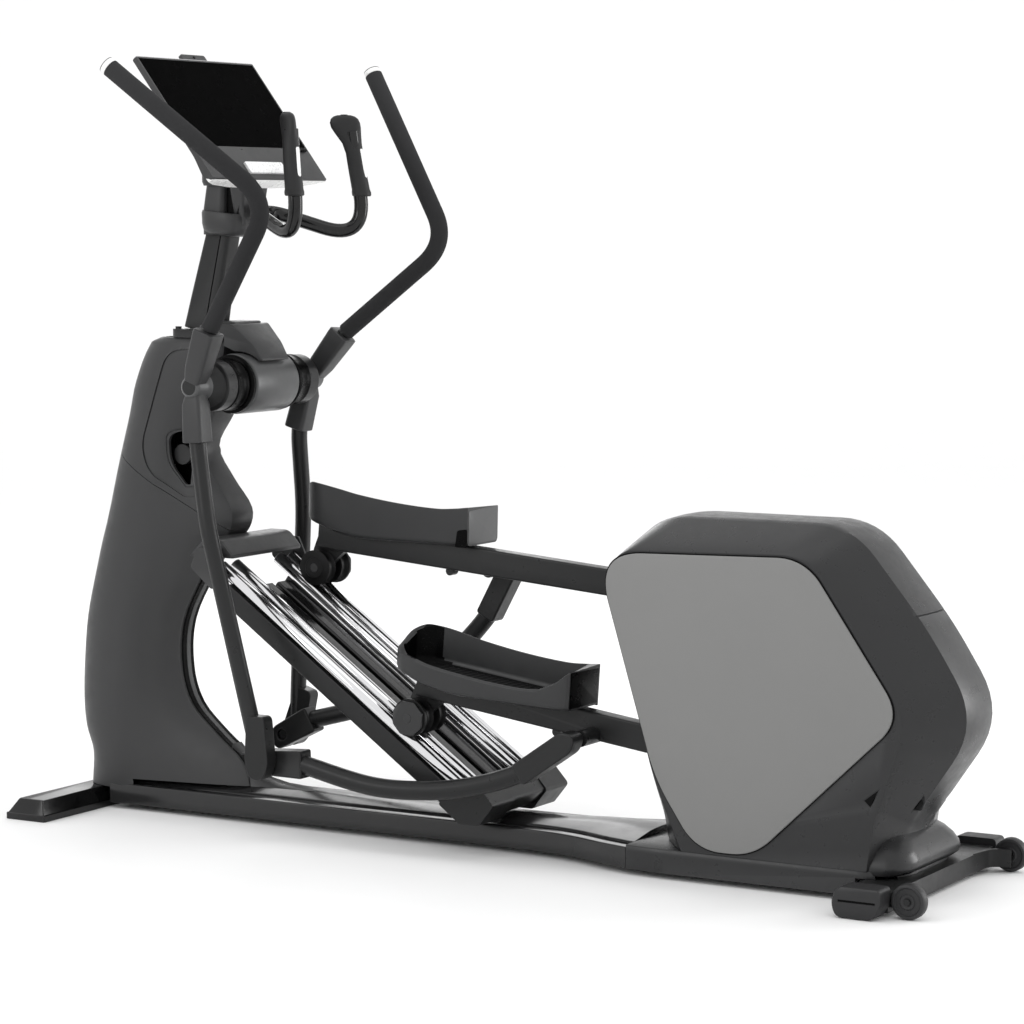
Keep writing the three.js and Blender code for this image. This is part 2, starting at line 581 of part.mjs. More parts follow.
// The foot block clamps the lower ends of the rails and of their side beams.
function trackFoot(track) {
  const side = outline([[-58, 98, 10], [-8, 61], [36, 61, 4], [70, 103, 8], [38, 138, 6], [16, 137]], 2);
  const bridge = outline([[22, 72], [36, 72], [66, 103, 8], [38, 136], [26, 136]], 2);
  const body = join(alongY(side, 62, 150), alongY(side, -150, -62), alongY(bridge, -63, 63));
  const seats = [RAIL.inner, RAIL.outer].flatMap((y) => [y, -y]).map((y) =>
    alongX(circle(y, 0, RAIL.radius + GAP, 20), 0, TRACK.bottom + GAP));
  const beamSeats = [-1, 1].map((sign) => box(0, TRACK.bottom - 12 + GAP, sign * 127 - 15.4, sign * 127 + 15.4,
    -RAIL.radius - 38.8, -RAIL.radius + 3));
  track.updateMatrixWorld(true);
  return cut(body, ...[...seats, ...beamSeats].map((seat) => seat.applyMatrix4(track.matrixWorld)));
}

// ---------------------------------------------------------------- rollers, pedal arms and pedals

// Each side has one group that stands at its roller axle and leans with the pedal arm.
function armGroup(side) {
  const axle = onTrack(TRAVEL[side.name], ROLLER.lift);
  const group = new THREE.Group();
  group.position.set(axle.x, 0, axle.y);
  group.rotation.y = -THREE.MathUtils.degToRad(ARM_TILT[side.name]);
  machine.add(group);
  return group;
}

const rollerAxle = () => pinY(0, 0, 9, 60, 162, 20);

// The two grooved rollers of a side share one sleeve, so they turn as a wheelset on the axle.
function rollerSet() {
  const groove = (y) => [[36.6, y - 12], [31.6, y - 7], [30, y], [31.6, y + 7], [36.6, y + 12]];
  const profile = [[9.3, 64], [22, 64], ...groove(ROLLER.inner), [13, 92], [13, 113], ...groove(ROLLER.outer),
    [26, 139], [ROLLER.flange, 141], [ROLLER.flange, 148], [9.3, 149]];
  return turned(0, 0, [...profile, profile[0]], 20);
}

function armBeam(grow) {
  const { length, rise, width, height, y } = ARM;
  const half = { across: width / 2 + grow, up: height / 2 + grow };
  const beam = box(-4 - grow, length - 26, y - half.across, y + half.across, -half.up, half.up);
  return beam.rotateY(Math.atan2(rise, length)).translate(0, 0, rise);
}

function pedalArm() {
  const { length, rise, width, height, y } = ARM;
  const nose = pinY(length - 26, 0, height / 2, y - width / 2, y + width / 2, 24);
  nose.rotateY(Math.atan2(rise, length)).translate(0, 0, rise);
  const bracketSide = outline([[-22, 34, 4], [-22, 8, 12], [-20, -14, 14], [14, -20, 14], [26, 10, 8], [66, 46, 6],
    [66, 70], [-4, 80]], 3);
  const bracket = alongY(bracketSide, 95, 110);
  const linkPin = pinY(LINK_EYE.along, LINK_EYE.up, 16, y, 172, 20);
  const bores = [pinY(0, 0, 13.4, 80, 125, 24), pinY(length, 0, 10.4, 60, 100, 20)];
  const inside = armBeam(-3.5).translate(-24, 0, 24 * (rise / length));
  return cut(join(cut(armBeam(0), inside), nose, bracket, linkPin), ...bores);
}

// A pedal is a deep foot tray: a high rounded toe cup, a dipped outer wall and a raised heel.
const PEDAL = [
  { x: -34, inner: 84, outer: 160, innerTop: 166, outerTop: 122, bottom: 104 },
  { x: -20, inner: 69, outer: 180, innerTop: 178, outerTop: 120, bottom: 97 },
  { x: 6, inner: 61, outer: 188, innerTop: 177, outerTop: 124, bottom: 91 },
  { x: 60, inner: 60, outer: 190, innerTop: 170, outerTop: 118, bottom: 76 },
  { x: 114, inner: 60, outer: 190, innerTop: 160, outerTop: 111, bottom: 68 },
  { x: 208, inner: 60, outer: 190, innerTop: 149, outerTop: 103, bottom: 68 },
  { x: 300, inner: 60, outer: 190, innerTop: 144, outerTop: 104, bottom: 69 },
  { x: 345, inner: 60, outer: 190, innerTop: 147, outerTop: 124, bottom: 70 },
  { x: 372, inner: 61, outer: 180, innerTop: 150, outerTop: 146, bottom: 71 },
];

function pedal() {
  const wall = 7;
  const skin = loft(PEDAL.map(({ x, inner, outer, innerTop, outerTop, bottom }) =>
    outline([[inner, bottom, 9], [outer, bottom, 9], [outer, outerTop, 3], [inner, innerTop, 3]], 2)
      .map((p) => new THREE.Vector3(x, p.x, p.y))));
  const floor = (x) => 101 - 0.07 * x;
  const stations = PEDAL.slice(1, -1);
  const hollow = loft(stations.map(({ x, inner, outer, innerTop, outerTop }, i) =>
    [[inner + wall, floor(x)], [outer - wall, floor(x)], [outer - wall + 2, outerTop + 60], [inner + wall - 2, innerTop + 60]]
      .map(([y, z]) => new THREE.Vector3(i === 0 ? x + 8 : x + (i === stations.length - 1 ? 14 : 0), y, z))));
  return cut(skin, hollow, armBeam(GAP), box(-60, 72, 94.6, 110.4, 40, 88));
}

// ---------------------------------------------------------------- swing arms and links

function swingGroup(side) {
  const group = new THREE.Group();
  group.position.set(PIVOT.x, 0, PIVOT.z);
  group.rotation.y = THREE.MathUtils.degToRad(SWING_TURN[side.name]);
  machine.add(group);
  return group;
}

const HANDLE = [[38, 219, 103], [215, 251, 366], [-118, 329, 640.2]];
const GRIP_START = [47.4, 220.7, 117];
const GRIP = { radius: 18.3, core: 13.5 };
const HANDLE_BEND = 74;
const LOWER = [[0, 206, -18], [2, 206, -109], [46, 236, -276], [SWING_END.x - 8, 238, SWING_END.z + 30]];

function swingArm() {
  const hub = turned(0, 0, [[0, 92], [52, 92], [52, 164], [46, 172], [30, 182], [22, 196], [22, 224], [18, 229],
    [0, 229]], 24);
  const shaftBore = pinY(0, 0, 15.2, 80, 187, 28);
  const upperTube = bentTube(HANDLE, HANDLE_BEND, GRIP.core);
  const upperSocket = rod([6, 213, 14], [44, 220, 112], 25, 14);
  const endCap = rod([-109.1, 326.9, 633.1], HANDLE[2], GRIP.radius, 16);
  const lowerTube = bentTube(LOWER, 40, 17);
  const lowerSocket = rod([1, 207, -24], [3, 206, -112], 24, 14);
  const foot = outline([[-26, 96, 10], [22, 96, 10], [27, 0, 18], [10, -30, 14], [-16, -30, 14], [-30, 0, 18]], 3);
  const bracket = alongY(foot, 223, 255).translate(SWING_END.x, 0, SWING_END.z);
  const pin = pinY(SWING_END.x, SWING_END.z, 11, 184, 226, 20);
  return cut(join(hub, upperSocket, upperTube, endCap, lowerSocket, lowerTube, bracket, pin), shaftBore);
}

// The foam sleeve runs from the clamp socket round the bend of the handle to just short of its end cap.
function foamGrip() {
  const path = (startShift, endShift) => {
    const [start, corner, end] = [GRIP_START, HANDLE[1], HANDLE[2]].map((p) => new THREE.Vector3(...p));
    start.add(start.clone().sub(corner).setLength(startShift));
    end.add(end.clone().sub(corner).setLength(endShift));
    return [start, corner, end].map((p) => p.toArray());
  };
  const skin = bentTube(path(0, -12), HANDLE_BEND, GRIP.radius);
  return cut(skin, bentTube(path(10, 0), HANDLE_BEND, GRIP.core + GAP));
}

// The link hangs below the line between its two pivots, as a bowed tube with a boss at each end.
function link() {
  const bow = [[30, 2], [80, -12], [170, -44], [240, -64], [320, -75], [410, -78], [500, -70], [580, -52], [650, -24]]
    .map(([x, z]) => new THREE.Vector3(x, LINK.y, z));
  const tube = sweep(bow, LINK.radius, 12);
  const frontBoss = alongY(outline([[-28, -22, 12], [78, -38, 6], [84, 18, 6], [-14, 26, 12], [-34, 2, 10]], 3), 178, 219);
  const rearBoss = alongY(outline([[585, -77, 6], [700, -20, 14], [712, 8, 12], [684, 22, 14], [565, -37, 6]], 3), 178, 222);
  return cut(join(tube, frontBoss, rearBoss), pinY(0, 0, 11.3, 150, 240, 20));
}

// ---------------------------------------------------------------- crank drive

function crankArm() {
  const arm = alongY(outline([[-30, -26, 14], [-30, 26, 14], [CRANK.radius + 24, 22, 16], [CRANK.radius + 24, -22, 16]]), 58, 74);
  const pin = pinY(CRANK.radius, 0, 10, 74, 82, 20);
  return cut(join(arm, pin), pinY(0, 0, 15.3, 50, 80, 28));
}

const crankAxle = () => pinY(CRANK.x, CRANK.z, 15, -73, 73, 28);

function drivePulley() {
  const rim = [[15.4, -13], [40, -13], [40, -5], [134, -5], [134, -12], [146, -12], [146, 12], [134, 12], [134, 5], [40, 5],
    [40, 13], [15.4, 13]];
  return turned(CRANK.x, CRANK.z, [...rim, rim[0]], 32);
}

function flywheel() {
  const { x, z, radius } = FLYWHEEL;
  return turned(x, z, [[0, -40], [10, -40], [10, -11], [28, -11], [28, 11], [20, 12], [20, 14], [30, 15], [radius, 15],
    [radius, 31], [30, 31], [10, 32], [10, 40], [0, 40]], 28);
}

// The belt follows the two outer tangents of the pulley and the flywheel's sheave.
function driveBelt() {
  const loop = (big, small) => {
    const dx = FLYWHEEL.x - CRANK.x;
    const dz = FLYWHEEL.z - CRANK.z;
    const heading = Math.atan2(dz, dx);
    const spread = Math.acos((big - small) / Math.hypot(dx, dz));
    const arc = (x, z, radius, from, to, count) => Array.from({ length: count + 1 }, (_, i) => {
      const angle = heading + from + ((to - from) * i) / count;
      return new THREE.Vector2(x + radius * Math.cos(angle), z + radius * Math.sin(angle));
    });
    return [...arc(CRANK.x, CRANK.z, big, spread, 2 * Math.PI - spread, 36),
      ...arc(FLYWHEEL.x, FLYWHEEL.z, small, -spread, spread, 12)];
  };
  return alongY(loop(151, 33), -9, 9, [loop(147.5, 29.5).reverse()]);
}

// ---------------------------------------------------------------- crank housing

// Corners [x, z, cut] of the flat side, of the silver plate on it, and of the narrow rim.
const FLAT_SIDE = [[318, 568, 50], [352, 619, 40], [738, 629, 58], [838, 486, 60], [938, 340, 60], [872, 140, 40],
  [862, 58, 3], [484, 58, 3], [425, 190, 51]];
const RIM = [[298, 566, 50], [380, 680, 70], [783, 680, 75], [935, 497, 60], [1040, 331, 112], [900, 126, 14],
  [900, 58, 3], [408, 58, 3], [394, 130, 20]];
const PLATE = [[300, 614.5, 100], [736, 625, 58], [932, 343, 60], [636, 63, 48], [516, 63, 54], [429, 192, 51]];

// The casing rounds over from its flat side to its rim, but stays straight at the front.
function housingLoop(y, inset) {
  const reach = (HOUSING.half - Math.min(Math.abs(y), HOUSING.half)) / (HOUSING.half - HOUSING.rimHalf);
  const side = outline(FLAT_SIDE, 3);
  const rim = outline(RIM, 3);
  return side.map((p, i) => {
    const round = THREE.MathUtils.smoothstep(rim[i].x, 330, 460);
    const spread = THREE.MathUtils.lerp(reach, reach ** 0.85, round);
    const x = THREE.MathUtils.lerp(p.x, rim[i].x, spread);
    const z = THREE.MathUtils.lerp(p.y, rim[i].y, spread);
    const toCentre = new THREE.Vector2(640 - x, 360 - z);
    toCentre.setLength(inset * 1.15);
    return new THREE.Vector3(x + toCentre.x, y, z + toCentre.y);
  });
}

function housingShell() {
  const stations = [158, 152, 138, 116, 90, 62];
  const levels = [...stations.map((y) => -y), ...stations.reverse()];
  const skin = loft(levels.map((y) => housingLoop(y, 0)));
  const hollow = loft(levels.map((y) => {
    const side = Math.abs(y) === HOUSING.half;
    const inside = side ? Math.sign(y) * (HOUSING.half - HOUSING.wall) : y * 0.97;
    return housingLoop(y, side ? 24 : HOUSING.wall).map((p) => new THREE.Vector3(p.x, inside, p.z));
  }));
  const sideOpening = alongY(outline(PLATE.map(([x, z, round]) => [640 + (x - 640) * 0.9, 360 + (z - 360) * 0.88, round])),
    -170, 170);
  const slots = SIDES.map((side) => onSide(box(240, 470, 79, 125, 196, 588), side));
  return cut(skin, hollow, sideOpening, box(550, 790, -42, 42, 40, 80), ...slots);
}

const aboveHousingSeam = (raise) => box(100, 1200, -300, 300, HOUSING.seamZ + raise, 900);
const sidePlate = () => alongY(outline(PLATE, 6), HOUSING.half + GAP, HOUSING.half + 6.5);

// ---------------------------------------------------------------- assembly

add('front_foot', frontFoot(), 'frame');
add('base_frame', baseFrame(), 'frame');
add('base_cover_front', baseCoverFront(), 'shell');
add('base_cover_rear', baseCoverRear(), 'shell');
add('rear_bar', rearBar(), 'frame');

add('column_post', columnPost(), 'frame');
add('column_shroud_lower', columnShroud(false), 'shell');
add('column_shroud_upper', columnShroud(true), 'shell');
add('pivot_housing', pivotHousing(), 'casting');
add('pivot_axle', pivotAxle(), 'steel');
add('pivot_hood', pivotHood(), 'shell');
add('mast', mast(), 'frame');

const consoleFrame = consoleGroup();
add('console_back', consoleBack(), 'lightShell', consoleFrame);
add('console_screen', consoleScreen(), 'screen', consoleFrame);
add('console_camera', box(-14, -GAP, -40, 40, -12, -4), 'shell', consoleFrame);
add('console_neck', leanedNeck(consoleFrame), 'shell');
add('handlebar', handlebar(), 'frame');

const track = trackGroup();
add('track_channel', centreChannel(), 'frame', track);
add('track_top_cover', trackTopCover(), 'frame');
add('track_foot', trackFoot(track), 'frame');

const crankTurn = { left: THREE.MathUtils.degToRad(-40), right: THREE.MathUtils.degToRad(140) };
add('crank_axle', crankAxle(), 'steel');
add('drive_pulley', drivePulley(), 'casting');
add('flywheel', flywheel(), 'steel');
add('drive_belt', driveBelt(), 'rubber');

const housing = housingShell();
add('housing_cover_upper', meet(housing, aboveHousingSeam(GAP)), 'shell');
add('housing_cover_lower', cut(housing, aboveHousingSeam(-GAP)), 'shell');

for (const side of SIDES) {
  const name = side.name;
  const put = (part, geometry, finishName, parent) => add(`${part}_${name}`, onSide(geometry, side), finishName, parent);

  put('rear_end_cap', rearEndCap(), 'rubber');
  put('transport_wheel', transportWheel(), 'rubber');
  put('column_side_panel', sidePanel(), 'frame');
  put('static_grip', staticGrip(), 'rubber');
  put('thumb_button', thumbButton(), 'casting');
  put('rail_inner', rail(RAIL.inner), 'chrome', track);
  put('rail_outer', rail(RAIL.outer), 'chrome', track);
  put('track_beam', sideBeam(), 'frame', track);
  put('housing_plate', sidePlate(), 'silver');

  const crank = put('crank_arm', crankArm(), 'frame');
  crank.position.set(CRANK.x, 0, CRANK.z);
  crank.rotation.y = -crankTurn[name];

  const armFrame = armGroup(side);
  put('roller_axle', rollerAxle(), 'steel', armFrame);
  put('roller_set', rollerSet(), 'rubber', armFrame);
  put('pedal_arm', pedalArm(), 'frame', armFrame);
  put('pedal', pedal(), 'rubber', armFrame);

  const swingFrame = swingGroup(side);
  put('swing_arm', swingArm(), 'frame', swingFrame);
  put('foam_grip', foamGrip(), 'foam', swingFrame);

  machine.updateMatrixWorld(true);
  const front = swingFrame.localToWorld(new THREE.Vector3(SWING_END.x, 0, SWING_END.z));
  const rear = armFrame.localToWorld(new THREE.Vector3(LINK_EYE.along, 0, LINK_EYE.up));
  const linkMesh = put('link', link(), 'frame');
  linkMesh.position.copy(front);
  linkMesh.rotation.y = -Math.atan2(rear.z - front.z, rear.x - front.x);
}

export default machine;
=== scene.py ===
"""Elliptical trainer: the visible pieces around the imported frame. Sizes below are in millimetres."""
import math

import bpy
import numpy as np
from mathutils import Matrix, Vector


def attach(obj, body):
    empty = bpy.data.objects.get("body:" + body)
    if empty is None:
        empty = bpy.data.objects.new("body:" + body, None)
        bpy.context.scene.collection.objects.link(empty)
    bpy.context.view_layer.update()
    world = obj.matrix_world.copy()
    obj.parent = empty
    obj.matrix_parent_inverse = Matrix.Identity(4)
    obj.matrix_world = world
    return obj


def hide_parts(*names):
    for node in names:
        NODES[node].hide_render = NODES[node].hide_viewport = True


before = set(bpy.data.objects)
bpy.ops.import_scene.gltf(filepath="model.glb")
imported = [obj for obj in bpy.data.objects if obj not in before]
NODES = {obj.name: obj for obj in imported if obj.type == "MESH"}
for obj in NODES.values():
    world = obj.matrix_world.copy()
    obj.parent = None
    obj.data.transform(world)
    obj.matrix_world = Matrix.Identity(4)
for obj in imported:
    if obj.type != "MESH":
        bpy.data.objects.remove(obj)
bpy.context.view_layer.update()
SIDES = (("left", -1), ("right", 1))

# ------------------------------------------------------------------ camera

TURN, RISE = math.radians(30.219), math.radians(5.310)
camera = bpy.data.objects.new("camera", bpy.data.cameras.new("camera"))
bpy.context.scene.collection.objects.link(camera)
bpy.context.scene.camera = camera
camera.data.sensor_width = 36
camera.data.lens = 113.32
camera.data.clip_end = 200
camera.location = (3.2101, -5.4688, 1.2513)
back = Vector((math.sin(TURN) * math.cos(RISE), -math.cos(TURN) * math.cos(RISE), math.sin(RISE)))
camera.rotation_euler = (-back).to_track_quat("-Z", "Y").to_euler()

# ------------------------------------------------------------------ materials


def shader(name):
    """A material with object coordinates ready, and helpers to add and link its nodes."""
    mat = bpy.data.materials.new(name)
    mat.use_nodes = True
    tree = mat.node_tree
    bsdf = tree.nodes["Principled BSDF"]
    where = tree.nodes.new("ShaderNodeTexCoord").outputs["Object"]

    def node(kind, links=(), **values):
        made = tree.nodes.new("ShaderNode" + kind)
        for key, value in values.items():
            if key in made.inputs:
                made.inputs[key].default_value = value
            else:
                setattr(made, key, value)
        for key, source in links:
            tree.links.new(source, made.inputs[key])
        return made

    return mat, tree, bsdf, where, node


def finish(name, color, rough, metal=0.0, coat=0.0, grain=900.0, bump=0.12, depth=0.00012, mottle=0.10,
           spread=0.08, wear_and_highlight=0.25, stretch=(1, 1, 1), specular=0.5, cells=False):
    """A moulded, painted or machined surface: mottled colour, uneven gloss, fine grain, and convex edges
    lightened as rubbed wear and as a painted highlight.
    """
    mat, tree, bsdf, where, node = shader(name)
    place = node("Mapping", [("Vector", where)], Scale=stretch).outputs["Vector"]
    broad = node("TexNoise", [("Vector", place)], Scale=7.0, Detail=5.0, Roughness=0.6)
    fine = node("TexVoronoi" if cells else "TexNoise", [("Vector", place)], Scale=grain)
    smudge = node("TexNoise", [("Vector", place)], Scale=38.0, Detail=6.0, Roughness=0.65)
    low = [c * (1 - mottle) for c in color] + [1]
    high = [min(c * (1 + mottle), 1) for c in color] + [1]
    tint = node("Mix", [("Factor", broad.outputs["Fac"])], data_type="RGBA")
    tint.inputs["A"].default_value = low
    tint.inputs["B"].default_value = high
    # Convex edges are lightened from pointiness: partly rubbed wear, partly a painted highlight along the
    # edges.
    edge = node("NewGeometry").outputs["Pointiness"]
    edge_wear_and_highlight = node("MapRange", [("Value", edge)], **{"From Min": 0.53, "From Max": 0.62, "To Max": wear_and_highlight})
    worn_and_highlit = node("Mix", [("Factor", edge_wear_and_highlight.outputs["Result"]), ("A", tint.outputs["Result"])], data_type="RGBA")
    worn_and_highlit.inputs["B"].default_value = [min(c * 1.9 + 0.03, 1) for c in color] + [1]
    gloss = node("MapRange", [("Value", smudge.outputs["Fac"])],
                 **{"From Min": 0.3, "From Max": 0.7, "To Min": rough - spread, "To Max": rough + spread})
    ridge = fine.outputs["Distance" if cells else "Fac"]
    relief = node("Bump", [("Height", ridge)], Strength=bump, Distance=depth)
    tree.links.new(worn_and_highlit.outputs["Result"], bsdf.inputs["Base Color"])
    tree.links.new(gloss.outputs["Result"], bsdf.inputs["Roughness"])
    tree.links.new(relief.outputs["Normal"], bsdf.inputs["Normal"])
    bsdf.inputs["Metallic"].default_value = metal
    bsdf.inputs["Coat Weight"].default_value = coat
    bsdf.inputs["Coat Roughness"].default_value = 0.12
    bsdf.inputs["Specular IOR Level"].default_value = specular
    return mat


SHELL = finish("shell_plastic", (0.029, 0.0292, 0.030), 0.40, grain=1400, bump=0.16, specular=0.34)
CASING = finish("casing_plastic", (0.021, 0.0212, 0.022), 0.32, grain=1400, bump=0.10, specular=0.3)
DECK = finish("deck_plastic", (0.014, 0.014, 0.0145), 0.20, grain=900, bump=0.06, spread=0.06, specular=0.4)
PAINT = finish("frame_paint", (0.0125, 0.0127, 0.013), 0.34, grain=420, bump=0.08, specular=0.26)
GLOSSY = finish("glossy_paint", (0.004, 0.004, 0.0042), 0.14, grain=300, bump=0.03, spread=0.05,
                specular=0.36)
# Light cast grey: the colour of the hub castings, and also painted light on the column edge strip and the
# right heel face.
CAST_AND_PAINTED_LIGHT = finish("cast_housing", (0.070, 0.071, 0.072), 0.36, metal=0.2, grain=600, bump=0.12, specular=0.35)
SILVER = finish("silver_panel", (0.195, 0.195, 0.192), 0.46, metal=0.1, grain=2600, bump=0.06, mottle=0.03,
                spread=0.04, wear_and_highlight=0.1, specular=0.3)
CHROME = finish("rail_chrome", (0.70, 0.70, 0.71), 0.09, metal=1.0, grain=120, bump=0.02, mottle=0.05,
                spread=0.05, wear_and_highlight=0.0, stretch=(1, 14, 6))
STEEL = finish("bright_steel", (0.52, 0.52, 0.53), 0.30, metal=1.0, grain=260, bump=0.10, wear_and_highlight=0.1,
               stretch=(1, 9, 1))
IRON = finish("flywheel_iron", (0.17, 0.17, 0.18), 0.38, metal=0.9, grain=300, bump=0.18, stretch=(1, 8, 1))
RUBBER = finish("trim_rubber", (0.022, 0.022, 0.023), 0.5, grain=1100, bump=0.2, wear_and_highlight=0.35, specular=0.3)
ROLLER = finish("roller_rubber", (0.003, 0.003, 0.0032), 0.45, grain=900, bump=0.15, wear_and_highlight=0.2, specular=0.2)
PEDAL = finish("pedal_plastic", (0.022, 0.0223, 0.023), 0.36, grain=1000, bump=0.15, wear_and_highlight=0.3, specular=0.34)
TREAD = finish("pedal_tread", (0.004, 0.004, 0.0042), 0.6, grain=240, bump=0.5, depth=0.0006, cells=True,
               specular=0.2)
GRIP = finish("grip_rubber", (0.014, 0.014, 0.0145), 0.5, grain=620, bump=0.35, depth=0.0003, cells=True,
              specular=0.3)
FOAM = finish("foam", (0.024, 0.024, 0.025), 0.86, grain=1500, bump=0.55, depth=0.0003, mottle=0.16,
              wear_and_highlight=0.5, specular=0.12, cells=True)
SCREEN = finish("screen_gloss", (0.0003, 0.0003, 0.00035), 0.3, grain=30, bump=0.004, spread=0.05,
                wear_and_highlight=0.0, specular=0.004)
BEZEL = finish("bezel_plastic", (0.036, 0.036, 0.037), 0.34, grain=1500, bump=0.1, specular=0.3)
WHITE = finish("pale_trim", (0.84, 0.84, 0.83), 0.28, coat=0.3, grain=900, bump=0.04, mottle=0.03, wear_and_highlight=0.0)
SENSOR = finish("sensor_metal", (0.90, 0.90, 0.90), 0.3, metal=0.2, grain=500, bump=0.06, wear_and_highlight=0.0,
                stretch=(9, 9, 1))
# Near-black: the colour of the black parts, and also painted shade in dents, gaps, hollows and behind
# openings.
BLACK = finish("black_and_painted_shade", (0.0012, 0.0012, 0.0013), 0.3, grain=700, bump=0.1, wear_and_highlight=0.1, specular=0.05)

# ------------------------------------------------------------------ mesh helpers


def outline(corners, steps=8):
    """Corners (a, b, cut) with each corner rounded off over the length cut."""
    flat = [Vector(c[:2]) for c in corners]
    points = []
    for i, corner in enumerate(corners):
        here, before, after = flat[i], flat[i - 1], flat[(i + 1) % len(flat)]
        if len(corner) < 3 or not corner[2]:
            points.append(here)
            continue
        reach = min(corner[2], 0.48 * (here - before).length, 0.48 * (here - after).length)
        start = here + (before - here).normalized() * reach
        end = here + (after - here).normalized() * reach
        for k in range(steps + 1):
            t = k / steps
            points.append(start * (1 - t) ** 2 + here * (2 * t * (1 - t)) + end * t * t)
    return points


def loft(loops):
    """A skin over loops of equal length, with flat ends."""
    count = len(loops[0])
    verts = [tuple(p) for loop in loops for p in loop]
    faces = []
    for row in range(len(loops) - 1):
        for i in range(count):
            a, b = row * count + i, row * count + (i + 1) % count
            faces.append((a, b, b + count, a + count))
    faces.append(tuple(reversed(range(count))))
    faces.append(tuple(range((len(loops) - 1) * count, len(loops) * count)))
    return outward(verts, faces)


def outward(verts, faces):
    """The same skin with its faces turned to look outwards."""
    co = np.array(verts)
    volume = 0.0
    for f in faces:
        for k in range(1, len(f) - 1):
            volume += np.dot(co[f[0]], np.cross(co[f[k]], co[f[k + 1]]))
    return (verts, faces) if volume > 0 else (verts, [tuple(reversed(f)) for f in faces])


def along_y(points, y0, y1):
    return loft([[(p[0], y, p[1]) for p in points] for y in (y0, y1)])


def along_z(points, z0, z1):
    return loft([[(p[0], p[1], z) for p in points] for z in (z0, z1)])


def along_x(points, x0, x1):
    return loft([[(x, p[0], p[1]) for p in points] for x in (x0, x1)])


def plan(z, corners, steps=8):
    """A rounded outline laid flat at height z."""
    return [(p.x, p.y, z) for p in outline(corners, steps)]


def box(x0, x1, y0, y1, z0, z1):
    return along_z([(x0, y0), (x1, y0), (x1, y1), (x0, y1)], z0, z1)


def circle(a, b, radius, count=48):
    return [(a + radius * math.cos(2 * math.pi * i / count), b + radius * math.sin(2 * math.pi * i / count))
            for i in range(count)]


def pin_y(x, z, radius, y0, y1, count=48):
    return along_y(circle(x, z, radius, count), y0, y1)


def turned(x, z, profile, count=64):
    """A body of revolution about a line along Y, from a closed profile of (radius, y)."""
    return loft([[(a, y, b) for a, b in circle(x, z, max(r, 0.01), count)] for r, y in profile])


def ring_body(x, z, profile, count=64):
    """As turned, but the profile closes on itself around an open bore."""
    n = len(profile)
    rings = [circle(x, z, r, count) for r, _ in profile]
    verts = [(ring[i][0], y, ring[i][1]) for i in range(count) for ring, (_, y) in zip(rings, profile)]
    faces = [(i * n + k, ((i + 1) % count) * n + k, ((i + 1) % count) * n + (k + 1) % n, i * n + (k + 1) % n)
             for i in range(count) for k in range(n)]
    return outward(verts, faces)


def smooth_path(points, steps=10):
    """A Catmull-Rom curve through the points."""
    pts = [Vector(p) for p in points]
    pts = [pts[0] * 2 - pts[1]] + pts + [pts[-1] * 2 - pts[-2]]
    line = []
    for i in range(1, len(pts) - 2):
        a, b, c, d = pts[i - 1:i + 3]
        for k in range(steps):
            t = k / steps
            line.append(0.5 * (2 * b + (c - a) * t + (2 * a - 5 * b + 4 * c - d) * t * t
                    + (3 * b - a - 3 * c + d) * t ** 3))
    return line + [pts[-2]]


def bent_path(points, bend, steps=10):
    """Straight runs joined by bends; bend is one reach for every corner, or one for each."""
    pts = [Vector(p) for p in points]
    bends = bend if isinstance(bend, (list, tuple)) else [bend] * (len(pts) - 2)
    line = [pts[0]]
    for i in range(1, len(pts) - 1):
        into = pts[i] + (pts[i - 1] - pts[i]).normalized() * bends[i - 1]
        out = pts[i] + (pts[i + 1] - pts[i]).normalized() * bends[i - 1]
        line += [into * (1 - t) ** 2 + pts[i] * (2 * t * (1 - t)) + out * t * t
                 for t in (k / steps for k in range(steps + 1))]
    return line + [pts[-1]]


def rounded(rings, steps=6):
    """Rings of numbers, refined with a smooth curve through each column."""
    rows = np.array(rings, float)
    fine = []
    for i in range(len(rows) - 1):
        a, b = rows[i], rows[i + 1]
        before = rows[i - 1] if i else a
        after = rows[i + 2] if i + 2 < len(rows) else b
        m0 = (b - before) / max(b[0] - before[0], 1e-6) * (b[0] - a[0])
        m1 = (after - a) / max(after[0] - a[0], 1e-6) * (b[0] - a[0])
        for k in range(steps):
            t = k / steps
            fine.append((2 * t**3 - 3 * t**2 + 1) * a + (t**3 - 2 * t**2 + t) * m0
                    + (3 * t**2 - 2 * t**3) * b + (t**3 - t**2) * m1)
    return [tuple(r) for r in fine] + [tuple(rows[-1])]


def sweep(path, radius, sides=32, wide=1.0):
    """A tube along a path. radius is a number or one per station; wide stretches it across Y."""
    path = [Vector(p) for p in path]
    radii = radius if isinstance(radius, (list, tuple)) else [radius] * len(path)
    across = None
    loops = []
    for i, p in enumerate(path):
        heading = (path[min(i + 1, len(path) - 1)] - path[max(i - 1, 0)]).normalized()
        if across is None:
            across = Vector((0, 1, 0)).cross(heading).normalized()
        across = (across - heading * across.dot(heading)).normalized()
        up = heading.cross(across)
        loops.append([tuple(p + across * c[0] * radii[i] + up * c[1] * radii[i] * wide)
                for c in circle(0, 0, 1, sides)])
    return loft(loops)


def moved(data, matrix):
    """A skin carried by a matrix."""
    return [tuple(matrix @ Vector(v)) for v in data[0]], data[1]


def mirrored(data, sign):
    """A right-hand skin, or its mirror image when sign is negative."""
    if sign > 0:
        return data
    return [(x, -y, z) for x, y, z in data[0]], [tuple(reversed(f)) for f in data[1]]


def temporary(data):
    mesh = bpy.data.meshes.new("work")
    mesh.from_pydata(data[0], [], data[1])
    obj = bpy.data.objects.new("work", mesh)
    bpy.context.scene.collection.objects.link(obj)
    return obj


